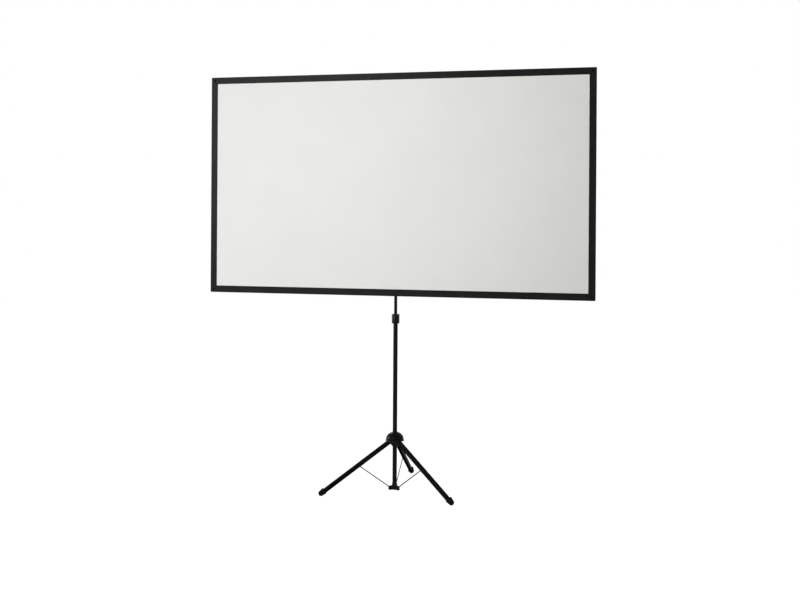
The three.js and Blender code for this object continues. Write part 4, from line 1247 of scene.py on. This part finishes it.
def hub_knob_grip():
    """Clamp knob: six-lobed outline r = R + L cos 6a, drawn out along Y with rounded rims, and a stud."""
    a = np.linspace(0, 2 * math.pi, 120, endpoint=False)
    line = polar(KNOB_R + KNOB_LOBE * np.cos(KNOB_LOBES * a), a, 0.0)[:, :2]
    face = KNOB_FROM_Y + KNOB_LEN
    grip = plate_rings(line, KNOB_FROM_Y, face, KNOB_ROUND, 8)
    dish = [level(line * share, face - depth) for share, depth in KNOB_DISH]
    root = KNOB_FROM_Y + STUD_LAP
    stud = chamfered(STUD_R, STUD_FROM_Y) + [[STUD_R, root], [POLE_R, root]]
    middle = (0, 0, SHEET_MID_Z)
    shells = [lay(s, middle, *ROUND_Y) for s in (loft(np.stack(grip + dish)), turned(stud, SEG_PIN))]
    piece("hub_knob_grip", shells, "knob", "black_plastic", "hub_knob")


# Sheet and border

def lie(x, z):
    """How far the stretched sheet lies behind its flat plane.

    A long shallow hollow, nothing at the sheet's two ends and round its four held corners, and fine
    ripples that run out of each corner and die away.
    """
    u = 2 * x / SHEET_W
    v = 2 * (z - SHEET_MID_Z) / SHEET_H
    hollow = HOLLOW * (1 - u ** 2) * (1 - HOLLOW_FALL * v ** 2)
    dx = RIVET_X - np.abs(x)
    dz = RIVET_Z - np.abs(z - SHEET_MID_Z)
    far = np.hypot(dx, dz)
    past = np.maximum(far - RIPPLE_FROM, 0)
    swell = np.minimum(past / RIPPLE_GROW, 1) ** 2 * np.exp(-past / RIPPLE_FADE)
    held = np.clip((far - HELD_R) / HELD_EASE, 0, 1)
    return held ** 2 * hollow + RIPPLE * swell * np.cos(RIPPLES * np.arctan2(dz, dx) - math.pi / 4)


def spread(half, count):
    """Places from -half to half, evenly spaced but for a close row at either rim."""
    rim = np.array(RIM_PLACES)
    inside = np.linspace(-half + RIM_W, half - RIM_W, count)
    return np.concatenate([rim - half, inside, half - rim[::-1]])


def round_corners(x, z):
    """Places on the sheet from those on a sharp-cornered one, whose heights are from its middle.

    In a corner's square, each L at a distance from the square's inner point becomes a quarter circle of
    that radius: a point is drawn to the inner point by its larger run over its distance.
    """
    over_x = np.maximum(np.abs(x) - (SHEET_W / 2 - SHEET_CORNER_R), 0)
    over_z = np.maximum(np.abs(z) - (SHEET_H / 2 - SHEET_CORNER_R), 0)
    far = np.hypot(over_x, over_z)
    keep = np.where(far > 0, np.maximum(over_x, over_z) / np.maximum(far, TINY), 1.0)
    x = np.sign(x) * (np.abs(x) - over_x * (1 - keep))
    z = np.sign(z) * (np.abs(z) - over_z * (1 - keep))
    return x, z + SHEET_MID_Z


def stretched_sheet():
    """White sheet: a flat grid with rounded corners, front and back a sheet's thickness apart."""
    x = spread(SHEET_W / 2, SHEET_COLUMNS)
    z = spread(SHEET_H / 2, SHEET_ROWS)
    gx, gz = round_corners(*np.meshgrid(x, z))
    back = np.stack([gx, SHEET_BACK_Y + lie(gx, gz), gz], axis=-1)
    front = back - [0, SHEET_T, 0]
    rows, columns = gx.shape
    index = np.arange(rows * columns).reshape(rows, columns)
    rim = np.concatenate([index[0, :-1], index[:-1, -1], index[-1, :0:-1], index[:0:-1, 0]])
    under = rows * columns
    face = quads(rows, columns, wrap_columns=False)
    other = [[i + under for i in quad] for quad in face]
    side = np.stack([rim, np.roll(rim, -1), np.roll(rim, -1) + under, rim + under], axis=1).tolist()
    skin = np.concatenate([front.reshape(-1, 3), back.reshape(-1, 3)]), face + other + side
    made = piece("stretched_sheet", [skin], "screen", "white_sheet", "screen_sheet")
    made.data.materials.append(SHEET_BACK_BLACK)
    behind = np.zeros(len(made.data.polygons), dtype=np.int32)
    behind[len(face):] = 1
    made.data.polygons.foreach_set("material_index", behind)
    return made


def border_band():
    """Black band round the sheet's front: a low rounded section carried round the rectangle.

    Each row of the grid is the rectangle inset by a distance, each column a place on its outline; the
    section rises from the sheet over its first and last half millimetre.
    """
    edge = np.array(BORDER_EDGE)
    across = np.concatenate([edge, BORDER_PLACES, BORDER_W - edge[::-1]])
    height = BORDER_T * np.array(BORDER_RISE)
    side_x = spread(SHEET_W / 2, SHEET_COLUMNS) * 2 / SHEET_W
    side_z = spread(SHEET_H / 2, SHEET_ROWS) * 2 / SHEET_H
    ones_x, ones_z = np.ones_like(side_x[:-1]), np.ones_like(side_z[:-1])
    u = np.concatenate([side_x[:-1], ones_z, -side_x[:-1], -ones_z])
    v = np.concatenate([-ones_x, side_z[:-1], ones_x, -side_z[:-1]])
    top = [(u * (SHEET_W / 2 - d), v * (SHEET_H / 2 - d), h) for d, h in zip(across, height)]
    foot = [(x, z, -BORDER_SINK) for x, z, _ in (top[-1], top[0])]
    rows = []
    for x, z, rise in top + foot:
        x, z = round_corners(x, z)
        rows.append(np.stack([x, SHEET_BACK_Y - SHEET_T + lie(x, z) - rise, z], axis=-1))
    return piece("border_band", [hoop(np.stack(rows))], "screen", "black_border", "screen_border")


mast_tubes()
mast_foot_bracket()
clamp_collar_block()
clamp_lever_flap()
crown_dome_cover()
crown_casting()
tripod()
arms()
hub_casting()
hub_knob_grip()
sheet = stretched_sheet()
band = border_band()


# Floor, world and lamps

FLOOR_HALF = 9.0
FILL_LEVEL = 0.155
WHITE = (1.0, 1.0, 1.0)
FRONT_TINT = (1.0, 1.01, 0.94)
LEFT_TINT = (1.0, 0.975, 1.15)


def white_to_sight(f):
    """1 for rays by which the background is seen, straight, in gloss or through glass; else 0."""
    kinds = ("Is Camera Ray", "Is Glossy Ray", "Is Transmission Ray")
    camera, glossy, through = (f.node("ShaderNodeLightPath", out=kind) for kind in kinds)
    return camera.most(glossy).most(through)


def studio_floor():
    """Plain pale floor: white to sight where it is lit, darker under the object."""
    mesh = bpy.data.meshes.new("studio_floor")
    corners = [(x * FLOOR_HALF, y * FLOOR_HALF, 0) for x, y in ((-1, -1), (1, -1), (1, 1), (-1, 1))]
    mesh.from_pydata(corners, [], [(0, 1, 2, 3)])
    f = Finish.paint("floor_pale", Roughness=0.9, Specular_IOR_Level=0.0, Emission_Strength=0.975)
    seen = white_to_sight(f)
    pale = f.mix(f.noise(3.0), (0.78, 0.78, 0.78), (0.8, 0.8, 0.8))
    f.feed("Base Color", f.mix(seen, pale, (0.2, 0.2, 0.2)))
    f.feed("Emission Color", f.mix(seen, (0.0, 0.0, 0.0), WHITE))
    mesh.materials.append(f.owner)
    obj = bpy.data.objects.new("studio_floor", mesh)
    scene.collection.objects.link(obj)


def studio_world():
    """White to sight, and a soft even fill for the object."""
    world = bpy.data.worlds.new("studio_world")
    scene.world = world
    f = Finish(world, "Background", Color=(*WHITE, 1.0))
    f.feed("Strength", white_to_sight(f) * (1.0 - FILL_LEVEL) + FILL_LEVEL)


def lamp(name, watts, size, at, aim, tint=WHITE):
    """A square soft lamp at one point, aimed at another."""
    data = bpy.data.lights.new(name, "AREA")
    data.energy = watts
    data.size = size
    data.color = tint
    obj = bpy.data.objects.new(name, data)
    scene.collection.objects.link(obj)
    turn = (Vector(aim) - Vector(at)).to_track_quat("-Z", "Y")
    obj.matrix_world = Matrix.Translation(at) @ turn.to_matrix().to_4x4()
    return obj


studio_floor()
studio_world()
lamp("key_front", 35.0, 2.0, (-0.1, -2.2, 1.75), (-0.1, 0.0, 1.75), FRONT_TINT).visible_glossy = False
lamp("key_left", 22.0, 0.9, (-2.0, -2.6, 2.0), (-0.9, 0.0, 1.6), LEFT_TINT).visible_glossy = False
lamp("gloss_left", 40.0, 1.4, (-1.4, -2.6, 1.85), (-0.4, 0.0, 1.5)).visible_diffuse = False
lamp("gloss_side", 34.0, 1.1, (-2.3, -0.2, 0.9), (0.0, 0.0, 0.75)).visible_diffuse = False
lamp("side_left", 10.0, 0.5, (-2.35, -0.35, 0.75), (0.0, 0.0, 0.6))
lamp("rear_soft", 40.0, 1.6, (-1.6, 3.0, 2.4), (0.0, 0.0, 1.1))
